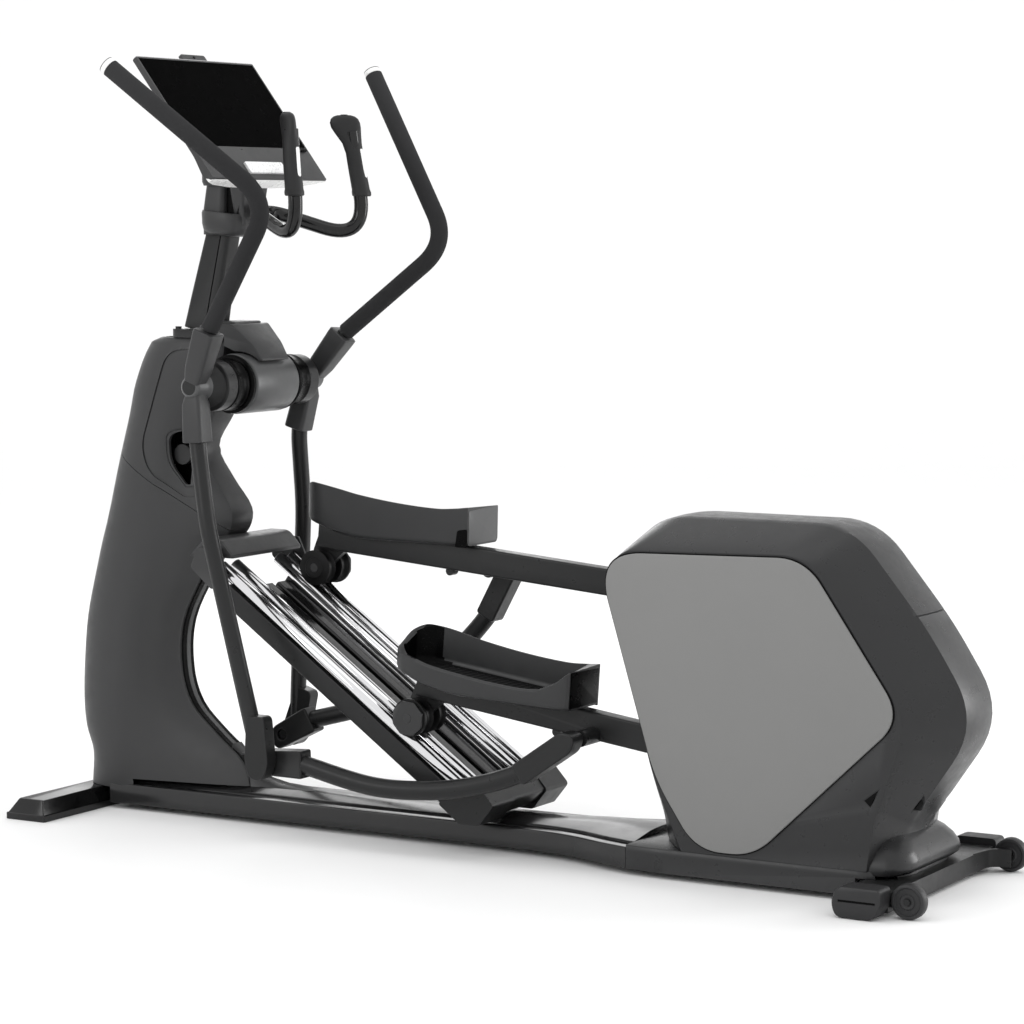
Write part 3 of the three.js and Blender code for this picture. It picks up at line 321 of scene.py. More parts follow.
def combine(data, tool, operation="DIFFERENCE"):
    """Boolean of two closed skins."""
    a, b = temporary(data), temporary(tool)
    mod = a.modifiers.new("work", "BOOLEAN")
    mod.operation = operation
    mod.solver = "EXACT"
    mod.object = b
    mesh = bpy.data.meshes.new_from_object(a.evaluated_get(bpy.context.evaluated_depsgraph_get()))
    result = ([tuple(v.co) for v in mesh.vertices], [tuple(p.vertices) for p in mesh.polygons])
    for o in (a, b):
        bpy.data.objects.remove(o)
    bpy.data.meshes.remove(mesh)
    return result


def cut(data, *tools):
    for tool in tools:
        data = combine(data, tool)
    return data


def join(data, *others):
    for other in others:
        data = combine(data, other, "UNION")
    return data


def piece(name, data, material, body, slot, replaces=(), bevel=0.0, angle=32, at=None, segments=3):
    """Makes the named piece from a skin in millimetres, on a body, with its edges rounded."""
    if at is not None:
        data = moved(data, at)
    mesh = bpy.data.meshes.new(name)
    mesh.from_pydata([(x * 0.001, y * 0.001, z * 0.001) for x, y, z in data[0]], [], data[1])
    mesh.materials.append(material)
    mesh.shade_smooth()
    mesh.set_sharp_from_angle(angle=math.radians(angle))
    obj = bpy.data.objects.new(name, mesh)
    bpy.context.scene.collection.objects.link(obj)
    if bevel:
        mod = obj.modifiers.new("edges", "BEVEL")
        mod.width = bevel * 0.001
        mod.segments = segments
        mod.limit_method = "ANGLE"
        mod.angle_limit = math.radians(angle)
        mod.harden_normals = True
    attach(obj, body)
    if replaces:
        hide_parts(*([replaces] if isinstance(replaces, str) else replaces))
    return obj


def sided(name, data, side, *rest, **options):
    """The piece for one side, from the shape of the right-hand one."""
    return piece(f"{name}_{side}", mirrored(data, dict(SIDES)[side]), *rest, **options)


def paint_node(material, *names):
    for name in names:
        slots = NODES[name].data.materials
        slots.clear()
        slots.append(material)


def pivot_frame(x, z, degrees=0.0):
    """The matrix of a frame at (x, 0, z), turned about +Y."""
    return Matrix.Translation((x, 0, z)) @ Matrix.Rotation(math.radians(degrees), 4, "Y")


# ------------------------------------------------------------------ shared dimensions

PIVOT = (-589.5, 903.0)
SLOPE = 35.2
TRACK = (-266.5, 307.6)
TRACK_FRAME = pivot_frame(*TRACK, SLOPE)
ARM_TILT = {"left": -3.9, "right": -1.1}
TRAVEL = {"left": 143.5, "right": -302.0}
SWING = {"left": -0.3, "right": 17.4}
ROLLER_LIFT = 44
AXLE = {side: TRACK_FRAME @ Vector((TRAVEL[side], 0, ROLLER_LIFT)) for side, _ in SIDES}
ARM_FRAME = {side: pivot_frame(AXLE[side].x, AXLE[side].z, -ARM_TILT[side]) for side, _ in SIDES}
SWING_FRAME = {side: pivot_frame(*PIVOT, SWING[side]) for side, _ in SIDES}
ARM_LENGTH, ARM_RISE, ARM_END = 970, 66, 944
BEAM_FRAME = Matrix.Translation((0, 0, ARM_RISE)) @ Matrix.Rotation(math.atan2(ARM_RISE, ARM_LENGTH), 4, "Y")
LINK_EYE = (397, 22)

# ------------------------------------------------------------------ rear housing

HALF, RIM_HALF = 158.0, 62.0
FLAT_SIDE = [(318, 568, 50), (352, 619, 40), (738, 629, 58), (838, 486, 60), (938, 340, 60), (872, 140, 40),
             (862, 58, 3), (484, 58, 3), (425, 190, 51)]
RIM = [(298, 566, 50), (380, 680, 70), (783, 680, 75), (935, 497, 60), (1040, 331, 112), (900, 126, 14),
       (900, 58, 3), (408, 58, 3), (394, 130, 20)]
PLATE = [(300, 614.5, 100), (736, 625, 58), (932, 343, 60), (636, 63, 48), (516, 63, 54), (429, 192, 51)]


def housing_loop(y, inset):
    """The casing's outline at a distance y from the middle, drawn in by inset."""
    reach = (HALF - min(abs(y), HALF)) / (HALF - RIM_HALF)
    loop = []
    for p, r in zip(outline(FLAT_SIDE), outline(RIM)):
        t = min(max((r[0] - 330) / 130, 0), 1)
        round_part = t * t * (3 - 2 * t)
        spread = min(reach + (min(reach, 1) ** 0.85 - reach) * round_part, 1)
        q = p.lerp(r, spread)
        crown = max(0.0, 1 - (y / RIM_HALF) ** 2) * 3 * round_part
        q += (Vector((640, 360)) - q).normalized() * (inset - crown)
        loop.append((q.x, y, q.y))
    return loop


def housing():
    """The casing as one shell, with arm slots in front, a side opening and a joint line round the rim."""
    stations = [158, 157, 155, 152, 148, 143, 137, 130, 122, 113, 103, 92, 80, 70, 62, 50, 35, 18]
    levels = [-y for y in stations] + [0] + stations[::-1]
    skin = loft([housing_loop(y, 0) for y in levels])
    inner = [housing_loop(y, 8 if abs(y) < HALF else 24) for y in levels]
    inner = [[(x, y * 0.968, z) for x, y, z in loop] for loop in inner]
    opening = along_y(outline([(640 + (x - 640) * 0.9, 360 + (z - 360) * 0.88, r) for x, z, r in PLATE]),
            -170, 170)
    shell = cut(skin, loft(inner), opening, box(240, 470, 79, 125, 196, 588),
                box(240, 470, -125, -79, 196, 588))
    joint = cut(along_y([(780, 517.9), (1100, 517.9), (1100, 520.1), (780, 520.1)], -64, 64), loft(
        [housing_loop(y, 2.2) for y in levels]))
    return cut(shell, joint)


def dimple(points):
    """A three-cornered dent, from a large triangle outside the skin to a point inside it."""
    top = [Vector(p) for p in points[:3]]
    tip = Vector(points[3])
    return loft([[tuple(p) for p in top], [tuple(tip + (p - tip) * 0.02) for p in top]])


DENTS = ([(904, -166, 244), (832, -166, 189), (864, -166, 159), (872, -151, 188)],
         [(1002, -84, 238), (948, -104, 140), (958, -22, 140), (907, -70, 172)])
dents = [dimple(d) for d in DENTS]
housing_skin = cut(housing(), *dents, *[mirrored(d, -1) for d in dents])
piece("housing", housing_skin, CASING, "frame", "shell_plastic",
      ("housing_cover_upper", "housing_cover_lower"),
      bevel=2.0, angle=24)
# Painted shade: a near-black sheet inside each dent stands for the shadow in the hollow.
for i, dent in enumerate(DENTS):
    middle = sum((Vector(p) for p in dent), Vector()) / 4
    floor_of = [tuple(Vector(p).lerp(middle, 0.06) + Vector((-4, 8, 0))) for p in dent]
    for side, sign in SIDES:
        inner = combine(mirrored(dimple(floor_of), sign), mirrored(dimple(dent), sign), "INTERSECT")
        outer = loft([housing_loop(y, 1.6) for y in (-157, -110, -62, 0, 62, 110, 157)])
        piece(f"dent_shade_{i}_{side}", combine(inner, outer, "INTERSECT"), BLACK, "frame", "shell_plastic")
for side, _ in SIDES:
    plate = outline(PLATE, 14)

    def ring_at(inset, y):
        return [(p.x + (640 - p.x) * inset / 300, y, p.y + (360 - p.y) * inset / 300) for p in plate]

    loops = [ring_at(i, y) for i, y in ((3, 158.6), (1.4, 160), (1.4, 162.8), (2.6, 164.4), (5, 165))]
    sided("side_panel", loft(loops), side, SILVER, "frame", "silver_panel",
          f"housing_plate_{side}", angle=30)
    # Painted shade: a near-black ring under the panel's edge stands for the shade in the gap around the
    # panel.
    sided("side_gap_shade", loft([ring_at(i, y) for i, y in ((-0.6, 157), (-1.2, 160.4))]), side, BLACK,
          "frame", "trim_rubber")

# ------------------------------------------------------------------ column

LEVELS = [(44.6, -992, -870, 90, -575, 40), (112, -990, -866, 89, -608, 28),
          (165, -1010, -866, 88, -674, 25),
          (225, -1016, -866, 88, -738, 25), (300, -1014, -862, 87, -764, 25),
          (400, -1004, -856, 86, -758, 25),
          (500, -980, -838, 84, -706, 27), (560, -964, -824, 83, -664, 32), (596, -953, -815, 82, -628, 38),
          (640, -941, -804, 81, -622, 40), (700, -926, -790, 80, -664, 36), (765, -909, -774, 78, -700, 34),
          (830, -891, -758, 76, -668, 40), (900, -874, -742, 74, -640, 58), (982, -834, -722, 68, -622, 60),
          (994, -806, -716, 62, -628, 54)]


def column_section(level, inset=0.0):
    """The outline at (height, tip, crease, half width at the crease, rear edge, half width there)."""
    z, tip, crease, wide, rear, narrow = level
    half = []
    for i in range(15):
        angle = math.pi / 2 * i / 14
        half.append((crease - (crease - tip - inset) * math.cos(angle) ** 0.8,
                (wide - inset) * max(math.sin(angle), 0) ** 0.8))
    width = max(narrow - inset, 4)
    for t in (0.25, 0.5, 0.75):
        half.append((crease + (rear - crease) * t, (wide - inset) * (1 - t * 0.9) + width * t * 0.9))
    half += [(rear - inset - 6, width), (rear - inset - 1.5, width * 0.94), (rear - inset, width * 0.8)]
    return [(x, y, z) for x, y in half] + [(x, -y, z) for x, y in half[:0:-1]]


FINE_LEVELS = rounded(LEVELS, 4)


def column_solid(inset, extra=0.0):
    levels = [list(level) for level in FINE_LEVELS]
    levels[0][0] -= extra
    return loft([column_section(level, inset) for level in levels])


def above_line(raise_by):
    """Everything above the slanting joint between the two column covers."""
    return along_y([(-1100, 863.6 + raise_by), (-500, 524 + raise_by), (-500, 1100), (-1100, 1100)], -200,
                   200)


PANEL = [(-692, 974, 20), (-762, 966, 34), (-826, 770, 60), (-806, 716, 30), (-724, 664, 10), (-692, 664, 6)]


def window(grow, y0, y1):
    """The D-shaped window in the column, made larger all round."""
    return along_y(outline([(-757 - grow, 796 + grow, 34), (-757 - grow, 735, 26), (-722, 690 - grow, 10),
            (-712, 690 - grow, 3), (-712, 804 + grow, 3)], 10), y0, y1)


seat = pin_y(*PIVOT, 66.5, -120, 120)
column = cut(column_solid(0), column_solid(7, 5))
upper = combine(column, above_line(0.7), "INTERSECT")
panel_blank = cut(along_y(outline(PANEL), 20, 120), window(3, 0, 130), box(-714, -600, 0, 130, 687, 807))
layer = cut(column_solid(-8), column_solid(2.6))
groove = combine(panel_blank, layer, "INTERSECT")
upper = cut(upper, seat, window(0, 24, 130), window(0, -130, -24),
            box(-700, -600, -34.4, 34.4, 861.6, 944.4), groove,
            mirrored(groove, -1))
piece("column_upper", upper, SHELL, "frame", "shell_plastic", "column_shroud_upper", bevel=1.0, angle=38)
skin_layer = cut(column_solid(0.9), column_solid(4.3))
inner_blank = cut(along_y(outline([(x + (4 if x < -700 else -1), z + (-3 if z > 800 else 3), r) for x, z,
        r in PANEL]), 20, 120), window(6, 0, 130), box(-716, -600, 0, 130, 684, 810))
panel = cut(combine(inner_blank, skin_layer, "INTERSECT"), pin_y(*PIVOT, 70, 0, 120))
for side, _ in SIDES:
    sided("column_panel", panel, side, SHELL, "frame", "shell_plastic",
          f"column_side_panel_{side}", bevel=1.0, angle=38)
lower = cut(column, above_line(-0.7), box(-1100, -500, -200, 200, 0, 44.8), box(-905, -500, -86, 86, 30, 66))
piece("column_lower", lower, SHELL, "frame", "shell_plastic", "column_shroud_lower", bevel=1.0, angle=38)
# Painted shade: a near-black block behind the windows stands for the dark inside of the column.
piece("window_shade", box(-775, -707.5, -24, 24, 680, 815), BLACK, "frame", "frame_paint", bevel=1)
for side, _ in SIDES:
    stub = turned(-734.5, 752, [(10, 20), (21, 20), (21, 38), (19.5, 40.5), (16, 42), (10, 42)])
    sided("cross_tube", stub, side, GLOSSY, "frame", "frame_paint", bevel=0.4)


def level_at(z):
    """The column's rear edge and its half width there, at height z."""
    zs = [level[0] for level in FINE_LEVELS]
    return (np.interp(z, zs, [level[4] for level in FINE_LEVELS]),
            np.interp(z, zs, [level[5] for level in FINE_LEVELS]))


def edge_strip(rows, back, front, wide, narrow):
    """A strip along the rear edge of the column, wide at its back face and narrow at its front face."""
    return loft([[(r + back, -n * wide, z), (r + front, -n * narrow, z),
                  (r + front, n * narrow, z), (r + back, n * wide, z)] for z, r, n in rows])


edge = [(z, *level_at(z)) for z in np.linspace(80, 556, 60)]
# Painted shade: a near-black strip along the column's rear edge stands for the shade on its inner face.
piece("opening_rim_shade", edge_strip(edge, -4, 3.4, 0.82, 0.74), BLACK, "frame", "shell_plastic", bevel=0.6)
# Painted highlight: a thin light grey strip along the column's rear edge stands for the light caught on its
# bevel.
bevel_highlight = edge_strip(edge[6:-4], 1, 4.6, 0.3, 0.24)
piece("opening_bevel_highlight", bevel_highlight, CAST_AND_PAINTED_LIGHT, "frame", "shell_plastic", bevel=0.4)
toe = loft([[(x, -w, 52), (x, -w * 0.7, 52 + h * 0.75), (x, -w * 0.4, 52 + h), (x, w * 0.4, 52 + h),
             (x, w * 0.7, 52 + h * 0.75), (x, w, 52)] for x, w, h in
            ((-640, 40, 96), (-612, 38, 66), (-590, 36, 44), (-560, 36, 28), (-520, 38, 20),
             (-470, 40, 16.5), (-420, 42, 14))])
piece("column_toe", toe, SHELL, "frame", "shell_plastic", angle=60)

# ------------------------------------------------------------------ base


def cover_section(x, half, top):
    """The base cover across x: skirts, the troughs inside them and a raised middle."""
    right = [(half, 12), (half, 50), (half - 1.5, 53), (half - 5, 54), (half - 20, 54), (half - 25, 49.5),
             (half - 28, 49.5), (half - 34, 56.5), (half - 40, 58), (half * 0.32, top - 2),
             (half * 0.14, top - 0.5)]
    return [(x, y, z) for y, z in right] + [(x, 0, top)] + [(x, -y, z) for y, z in right[::-1]]


stations = smooth_path([(-905, 90, 70), (-500, 90, 68), (-100, 90, 64), (120, 94, 66), (220, 108, 70),
        (300, 136, 71), (362.6, 154, 70)], 6)
cover = loft([cover_section(*s) for s in stations])
piece("base_front", cut(cover, box(-920, 370, -84, 84, -5, 44)), DECK, "frame", "shell_plastic",
      "base_cover_front", bevel=0.8, angle=40)


def plinth(half, rear, z):
    """The plan of the rear base cover at height z."""
    return plan(z, [(363.4, 6 - half), (420, -half, 30), (rear - 40, -half, 60),
            (rear, 70 - half, 50), (rear, half - 70, 50), (rear - 40, half, 60), (420, half, 30),
            (363.4, half - 6)])


def heel_plan(z, rear, half, lead):
    """The plan of the swelling behind the housing at height z."""
    return plan(z, [(lead, -half, 20), (rear - 20, -half, 60), (rear, 40 - half, 40),
            (rear, half - 40, 40), (rear - 20, half, 60), (lead, half, 20)], 10)


heel = loft([heel_plan(*s) for s in ((50.5, 922, 152, 800), (58, 932, 154, 800), (66, 936, 153, 806),
        (78, 934, 148, 812), (92, 926, 140, 826), (106, 914, 128, 842), (116, 900, 112, 860))])
plate = loft([plinth(159.6, 921, 12), plinth(159.6, 921, 46), plinth(158.6, 920, 57),
              plinth(157.6, 919, 57.9)])
base = cut(plate, box(350, 905, -151, 151, -5, 50), box(840, 960, -165, 165, 0, 44.5))
piece("base_rear", base, CASING, "frame", "shell_plastic", "base_cover_rear", bevel=0.6, angle=50)
piece("base_heel", cut(heel, box(700, 862, -146, 146, 40, 130)), CASING, "frame", "shell_plastic",
      bevel=1.0, angle=40)
foot = loft([[(x, y, z) for x, y in outline([(-1016.5 + a, -297 + c, 4), (-916.5 - b, -297 + c, 4),
             (-916.5 - b, 297 - c, 4), (-1016.5 + a, 297 - c, 4)], 3)]
             for z, a, b, c in ((0, 1, 1, 1), (1, 0, 0, 0), (13, 0, 0, 0), (14, 1, 1, 1), (14.5, 4, 4, 2),
        (43, 25, 13, 12), (44, 27, 15, 14))])
piece("front_foot_bar", foot, GLOSSY, "frame", "frame_paint", "front_foot", angle=30)

bar = box(859, 945, -250, 250, 8, 44)
for sign in (-1, 1):
    ends = outline([(944, sign * 150), (944, sign * 214, 10), (966, sign * 229, 8), (992, sign * 229, 6),
            (992, sign * 223, 2), (957, sign * 212, 14)], 4)
    bar = join(bar, along_z(ends, 12, 46), pin_y(984, 33, 6, *sorted((sign * 225, sign * 258))))
piece("stabiliser", bar, PAINT, "frame", "frame_paint", "rear_bar", bevel=2.0, angle=40)
cap_side = outline([(862, 1, 14), (936, 1, 14), (950, 28, 14), (950, 58, 10), (866, 58, 12),
        (853, 30, 14)], 6)
for side, _ in SIDES:
    middle = Vector((902, 34))
    rings = [[(middle.x + (p.x - middle.x) * k, y, middle.y + (p.y - middle.y) * k) for p in cap_side]
             for y, k in ((250.6, 1), (293, 1), (295.6, 0.99), (296.6, 0.975), (297, 0.95))]
    cap = cut(join(loft(rings), along_z(circle(900, 274, 20), 0, 14)), box(868, 940, 293.5, 300, 30, 34))
    sided("end_cap", cap, side, RUBBER, "frame", "trim_rubber", f"rear_end_cap_{side}", bevel=0.6)
    sided("cap_slot", box(867, 941, 292.5, 294.2, 29, 35), side, BLACK, "frame", "trim_rubber")
    tyre = ring_body(984, 33, [(6.2, 236), (10, 232.6), (13, 232.2), (15, 234), (24, 234), (26, 232.2),
            (28, 232), (31, 233.5), (32.5, 237), (32.5, 251), (31, 254.5), (28, 256), (26, 255.8),
            (24, 253), (15, 253), (13, 255.6), (10, 255.4), (6.2, 254)], 72)
    sided("wheel", tyre, side, RUBBER, f"{side}_wheel", "trim_rubber", f"transport_wheel_{side}",
          angle=40)

# ------------------------------------------------------------------ head, mast and console

barrel = turned(*PIVOT, [(40, -76), (58, -76), (61, -74), (62, -71), (62, 71), (61, 74), (58, 76),
        (40, 76)], 96)
neck = loft([[(x, p[0] * k, 903 + p[1] * k) for p in outline([(-34, -41, 8), (34, -41, 8), (34, 41, 8),
        (-34, 41, 8)])]
             for x, k in ((-685, 1), (-600, 1))])
piece("pivot_barrel", join(barrel, neck), CAST_AND_PAINTED_LIGHT, "frame", "hub_casting", "pivot_housing", bevel=0.8)
for side, _ in SIDES:
    ring = ring_body(*PIVOT, [(16, 76.5), (57, 76.5), (57, 79), (59, 80), (60, 82), (60, 86), (58.5, 88),
            (55, 89.5), (50, 90), (48, 87), (16, 87)], 96)
    sided("pivot_ring", ring, side, BLACK, "frame", "hub_casting")
hood_side = outline([(-622, 984, 4), (-668, 996, 4), (-668, 1022, 5), (-600, 1024, 5), (-556, 984, 10),
        (-534, 950, 6), (-552, 948, 3)], 6)


def hood_loop(y, k):
    """The hood's outline at y, scaled by k; the hood is narrower towards the rear."""
    loop = []
    for p in hood_side:
        x, z = -600 + (p.x + 600) * k, 975 + (p.y - 975) * k
        loop.append((x, y * (1 - 0.42 * min(max((x + 652) / 110, 0), 1)), z))
    return loop


hood = loft([hood_loop(y, k) for y, k in ((-84, 0.96), (-83, 0.98), (-81, 1), (81, 1), (83, 0.98),
        (84, 0.96))])
hood = cut(hood, seat, box(-700, -615.5, -100, 100, 900, 996.5))
hood = join(hood, loft([plan(z, [(-668 + s, s - 62, 8), (-604 - s, s - 50, 8),
            (-604 - s, 50 - s, 8), (-668 + s, 62 - s, 8)], 4) for z,
            s in ((1018, 0), (1027, 0), (1028.5, 2))]))
piece("pivot_cover", hood, SHELL, "frame", "shell_plastic", "pivot_hood", bevel=1.0, angle=36)

LEAN = 12.7
MAST_FRAME = Matrix.Translation((-710, 0, 1008)) @ Matrix.Rotation(math.radians(LEAN), 4, "Y")
flange = along_z(outline([(-757, -66, 24), (-670, -66, 4), (-670, 66, 4), (-757, 66, 24)]), 994.6, 1012)
post = [[(a, b, z) for a, b in outline([(-d / 2, -w / 2, 12), (d / 2, -w / 2, 12), (d / 2, w / 2, 12),
        (-d / 2, w / 2, 12)], 6)]
        for z, d, w in ((0, 80, 58), (60, 75, 55), (190, 62, 48), (222, 60, 47))]
groove_line = [mirrored(along_y([(14, -5), (17, -5), (12, 230), (9, 230)], 20.5, 40), s) for s in (1, -1)]
post = moved(cut(loft(post), *groove_line), MAST_FRAME)
bolts = [along_z(circle(-744, y, 7, 6), 1011, 1017) for y in (-50, 50)]
piece("console_post", join(flange, post, *bolts), PAINT, "frame", "frame_paint", "mast", bevel=1.2, angle=36)

CONSOLE_FRAME = Matrix.Translation((-728.5, 0, 1566)) @ Matrix.Rotation(math.radians(90 - 37.5), 4, "Y")


def console(name, data, material, slot, replaces=(), bevel=0.6):
    """A piece of the console, drawn in the console's own leaning frame."""
    return piece(name, data, material, "frame", slot, replaces, bevel, at=CONSOLE_FRAME)


panel_side = outline([(0, -3, 1), (307, -3, 1), (309, -9, 2), (291, -22, 6), (247, -15, 10), (1, -15, 3)], 4)
front = cut(along_y(panel_side, -204, 204), box(4.4, 226.4, -199.6, 199.6, -9, 2),
            box(-5, 1.2, -205, 205, -6, 0))
console("console_panel", front, BEZEL, "console_shell", "console_back", 0.8)
bulge = loft([plan(z, [(54 + s, s - 104, 24), (245 - s, s - 104, 24), (245 - s, 104 - s, 24),
        (54 + s, 104 - s, 24)])
              for z, s in ((-14, 0), (-22, 2), (-29, 8), (-34, 17), (-36, 26))])
console("console_rear_shell", bulge, SHELL, "console_shell", bevel=0.5)
console("screen_glass", box(5, 226, -199, 199, -8.6, -2.4), SCREEN, "screen_gloss", "console_screen", 0.5)
console("screen_top_trim", box(-0.6, 1.0, -203, 203, -6, -2.9), STEEL, "console_shell", bevel=0.3)
lip = loft([[(308.2, y, -7), (309.6, y, -9), (309 - 3 * k, y, -10 - 25 * k), (298, y, -12 - 22 * k)]
            for y, k in ((-203.6, 0.3), (-180, 0.65), (-120, 1.0), (-60, 1.1), (60, 1.1), (120, 0.9),
        (180, 0.35), (203.6, 0.05))])
console("console_lip", lip, WHITE, "console_shell", bevel=0.5)
console("keypad_plate", loft([plan(z, [(268 + s, s - 66, 4), (296 - s, s - 66, 4),
        (296 - s, 66 - s, 4), (268 + s, 66 - s, 4)], 4) for z, s in ((-3.4, 0), (1.6, 0), (2.6, 1.2))]),
        SENSOR, "console_shell")
console("console_lever", box(228, 236, 154, 192, -2.8, 2.2), BLACK, "console_shell", bevel=1.5)
tab = loft([plan(z, [(-15, -40, 5), (0.4, -40, 1), (0.4, 44, 1), (-15, 44, 5)], 4)
            for z in (-12, -4)])
console("camera_tab", tab, SHELL, "shell_plastic", "console_camera", 1.2)
console("camera_lens", moved(pin_y(0, 0, 3.2, -0.8, 0.8, 32), Matrix.Translation((-7.5, 2, -3.6))
        @ Matrix.Rotation(math.pi / 2, 4, "X")), BLACK, "shell_plastic", bevel=0.2)


def neck_loop(x, z, deep, wide, corner=0.32, lean=0.1):
    """A rounded rectangle across the neck, leaning back."""
    cut_off = min(deep, wide) * corner
    return [(x + a * math.cos(lean), b, z - a * math.sin(lean)) for a, b in
            outline([(-deep / 2, -wide / 2, cut_off), (deep / 2, -wide / 2, cut_off),
            (deep / 2, wide / 2, cut_off), (-deep / 2, wide / 2, cut_off)])]


cup = loft([neck_loop(x, z, d, w, 0.44) for x, z, d, w in ((-648, 1205, 76, 84), (-646, 1208, 92, 98),
            (-644, 1214, 104, 108), (-643, 1224, 110, 113), (-642, 1246, 113, 116), (-642, 1252, 110, 112))])
cup = cut(cup, loft([neck_loop(-630, z, 84, 86, 0.44) for z in (1232, 1262)]))
spine = loft([neck_loop(x, z, d, w, 0.3, 0.0) for x, z, d, w in ((-660, 1206, 64, 84), (-662, 1250, 58, 88),
              (-658, 1300, 50, 84), (-652, 1340, 48, 80), (-640, 1420, 48, 76))])
rear_wall = loft([neck_loop(x, z, d, w, 0.3, 0.0) for x, z, d,
                  w in ((-598, 1226, 26, 70), (-600, 1268, 30, 84),
                  (-600, 1320, 44, 96), (-612, 1400, 60, 96))])
roof = loft([neck_loop(-640, z, d, 104, 0.3, 0.0) for z, d in ((1306, 96), (1314, 106), (1400, 110))])
above_console = moved(box(-60, 490, -220, 220, -36.4, 300), CONSOLE_FRAME)
# Painted shade: a near-black block fills the inside of the neck cup, standing for the shade in there.
core = loft([neck_loop(-634, z, d, w, 0.2, 0.0) for z, d, w in ((1240, 60, 60), (1300, 54, 58),
        (1316, 70, 80))])
piece("neck_inner_shade", core, BLACK, "frame", "shell_plastic", bevel=2)
neck_body = cut(join(cup, spine, rear_wall, roof), above_console)
piece("neck", neck_body, SHELL, "frame", "shell_plastic", "console_neck", bevel=1.5, angle=36)

# ------------------------------------------------------------------ fixed handlebar

BAR_PATH = [(-420, 110, 1416), (-394, 126, 1192), (-560, 34, 1252)]
whole = BAR_PATH + [(x, -y, z) for x, y, z in BAR_PATH[::-1]]
piece("fixed_bar", sweep(bent_path(whole, [96, 30, 30, 96], 16), 14.5, 36), GLOSSY, "frame",
      "frame_paint", "handlebar", angle=60)
HEAD_AXIS = Vector((0.81, 0.59))
GRIP_RINGS = [(-404, 123, 1284, 17.5, 17.5), (-404, 123, 1286, 19.6, 19.6), (-404.5, 122.8, 1292, 20, 20),
              (-405.4, 122, 1298, 18.6, 18.6), (-412, 118, 1340, 18, 18), (-416, 115, 1372, 18, 17.4),
              (-420, 112, 1392, 20, 15.8), (-426, 108, 1410, 26, 13.6), (-430, 105, 1424, 30.5, 12.6),
              (-432, 104, 1434, 31, 12.4), (-433, 103.8, 1442, 28, 11.8), (-433.6, 103.7, 1447, 22, 10),
              (-434, 103.6, 1449.6, 14, 7)]
for side, _ in SIDES:
    rings = []
    for x, y, z, major, minor in GRIP_RINGS:
        ring = []
        for c in circle(0, 0, 1, 44):
            u, v = c[0] * major, c[1] * minor
            ring.append((x + u * HEAD_AXIS.x - v * HEAD_AXIS.y, y + u * HEAD_AXIS.y + v * HEAD_AXIS.x, z))
        rings.append(ring)
    sided("grip", loft(rings), side, GRIP, "frame", "grip_rubber", f"static_grip_{side}", angle=60)
    strip = loft([[(x + 15.5 * k, y - 4.5, z), (x + 18.8 * k, y + 1, z), (x + 15 * k, y + 7, z),
                   (x + 10, y + 1, z)]
                  for x, y, z, k in ((-408.8, 120.2, 1322, 0.98), (-409.2, 120, 1325, 1.06),
            (-412, 118, 1345, 1.06), (-415.6, 115.6, 1376, 1.05), (-416, 115, 1381, 0.97))])
    sided("sensor", strip, side, SENSOR, "frame", "grip_rubber", bevel=0.6)
    button = loft([[(p[0], p[1], z) for p in circle(-434, 104, r, 32)] for z, r in
                   ((1444, 7.6), (1450.2, 7.6), (1450.8, 7.0), (1451, 6))])
    sided("button", button, side, BLACK, f"{side}_button", "button_plastic", f"thumb_button_{side}")

# ------------------------------------------------------------------ track

for side, sign in SIDES:
    for place, y in (("inner", 79), ("outer", 126)):
        tube = loft([[(x, y + p[0], p[1]) for p in circle(0, 0, r, 48)] for x, r in
                ((-392, 12.3), (-390.8, 13.5), (343.8, 13.5), (345, 12.3))])
        piece(f"rail_{place}_{side}", mirrored(tube, sign), CHROME, "frame", "rail_chrome",
              f"rail_{place}_{side}", angle=50, at=TRACK_FRAME)
    beam = along_x(outline([(112, -51.9, 5), (142, -51.9, 5), (142, -11.9, 3), (138.4, -11.9),
            (138.4, -14.2), (112, -14.2, 2)], 4), -352, 333)
    sided("beam", beam, side, PAINT, "frame", "frame_paint", f"track_beam_{side}", bevel=0.6,
          at=TRACK_FRAME)
channel = along_x([(-60, -50), (60, -50), (60, -6), (56, -6), (56, -46), (-56, -46), (-56, -6),
                   (-60, -6)], -340, 333)
cover = along_x(outline([(-54, -20, 3), (-8, -20, 3), (-8, -8, 5), (-54, -8, 5)], 4), -330, 325)
piece("channel", channel, PAINT, "frame", "frame_paint", "track_channel", bevel=1.0, at=TRACK_FRAME)
for i, sign in enumerate((1, -1)):
    piece(f"channel_cover_{i}", mirrored(cover, sign), GLOSSY, "frame", "frame_paint", bevel=0.8,
          at=TRACK_FRAME)

roof = loft([[(-600 + (p.x + 600) * k, y, 566 + (p.y - 566) * k) for p in
              outline([(-634.8, 588, 3), (-590, 588, 14), (-560, 556, 4), (-562, 550), (-669, 550, 2)], 8)]
             for y, k in ((-126, 0.93), (-124, 0.98), (-120, 1), (120, 1), (124, 0.98), (126, 0.93))])
cheek = along_y(outline([(-632, 572, 4), (-649, 530, 8), (-595, 486, 8), (-562, 534, 4), (-580, 572, 4)],
        4), 143, 148)
ledge = box(-630, -586, -148, 148, 564, 572)
piece("track_roof", join(roof, ledge, cheek, mirrored(cheek, -1)), SHELL, "frame", "shell_plastic",
      "track_top_cover", bevel=1.0, angle=36)
foot_side = outline([(-58, 98, 10), (-8, 61), (36, 61, 4), (70, 103, 8), (38, 138, 6), (16, 137)], 5)
bridge = outline([(22, 72), (36, 72, 3), (66, 103, 8), (38, 136, 4), (26, 136)], 5)
foot_block = join(along_y(foot_side, 62, 150), along_y(foot_side, -150, -62), along_y(bridge, -63, 63))
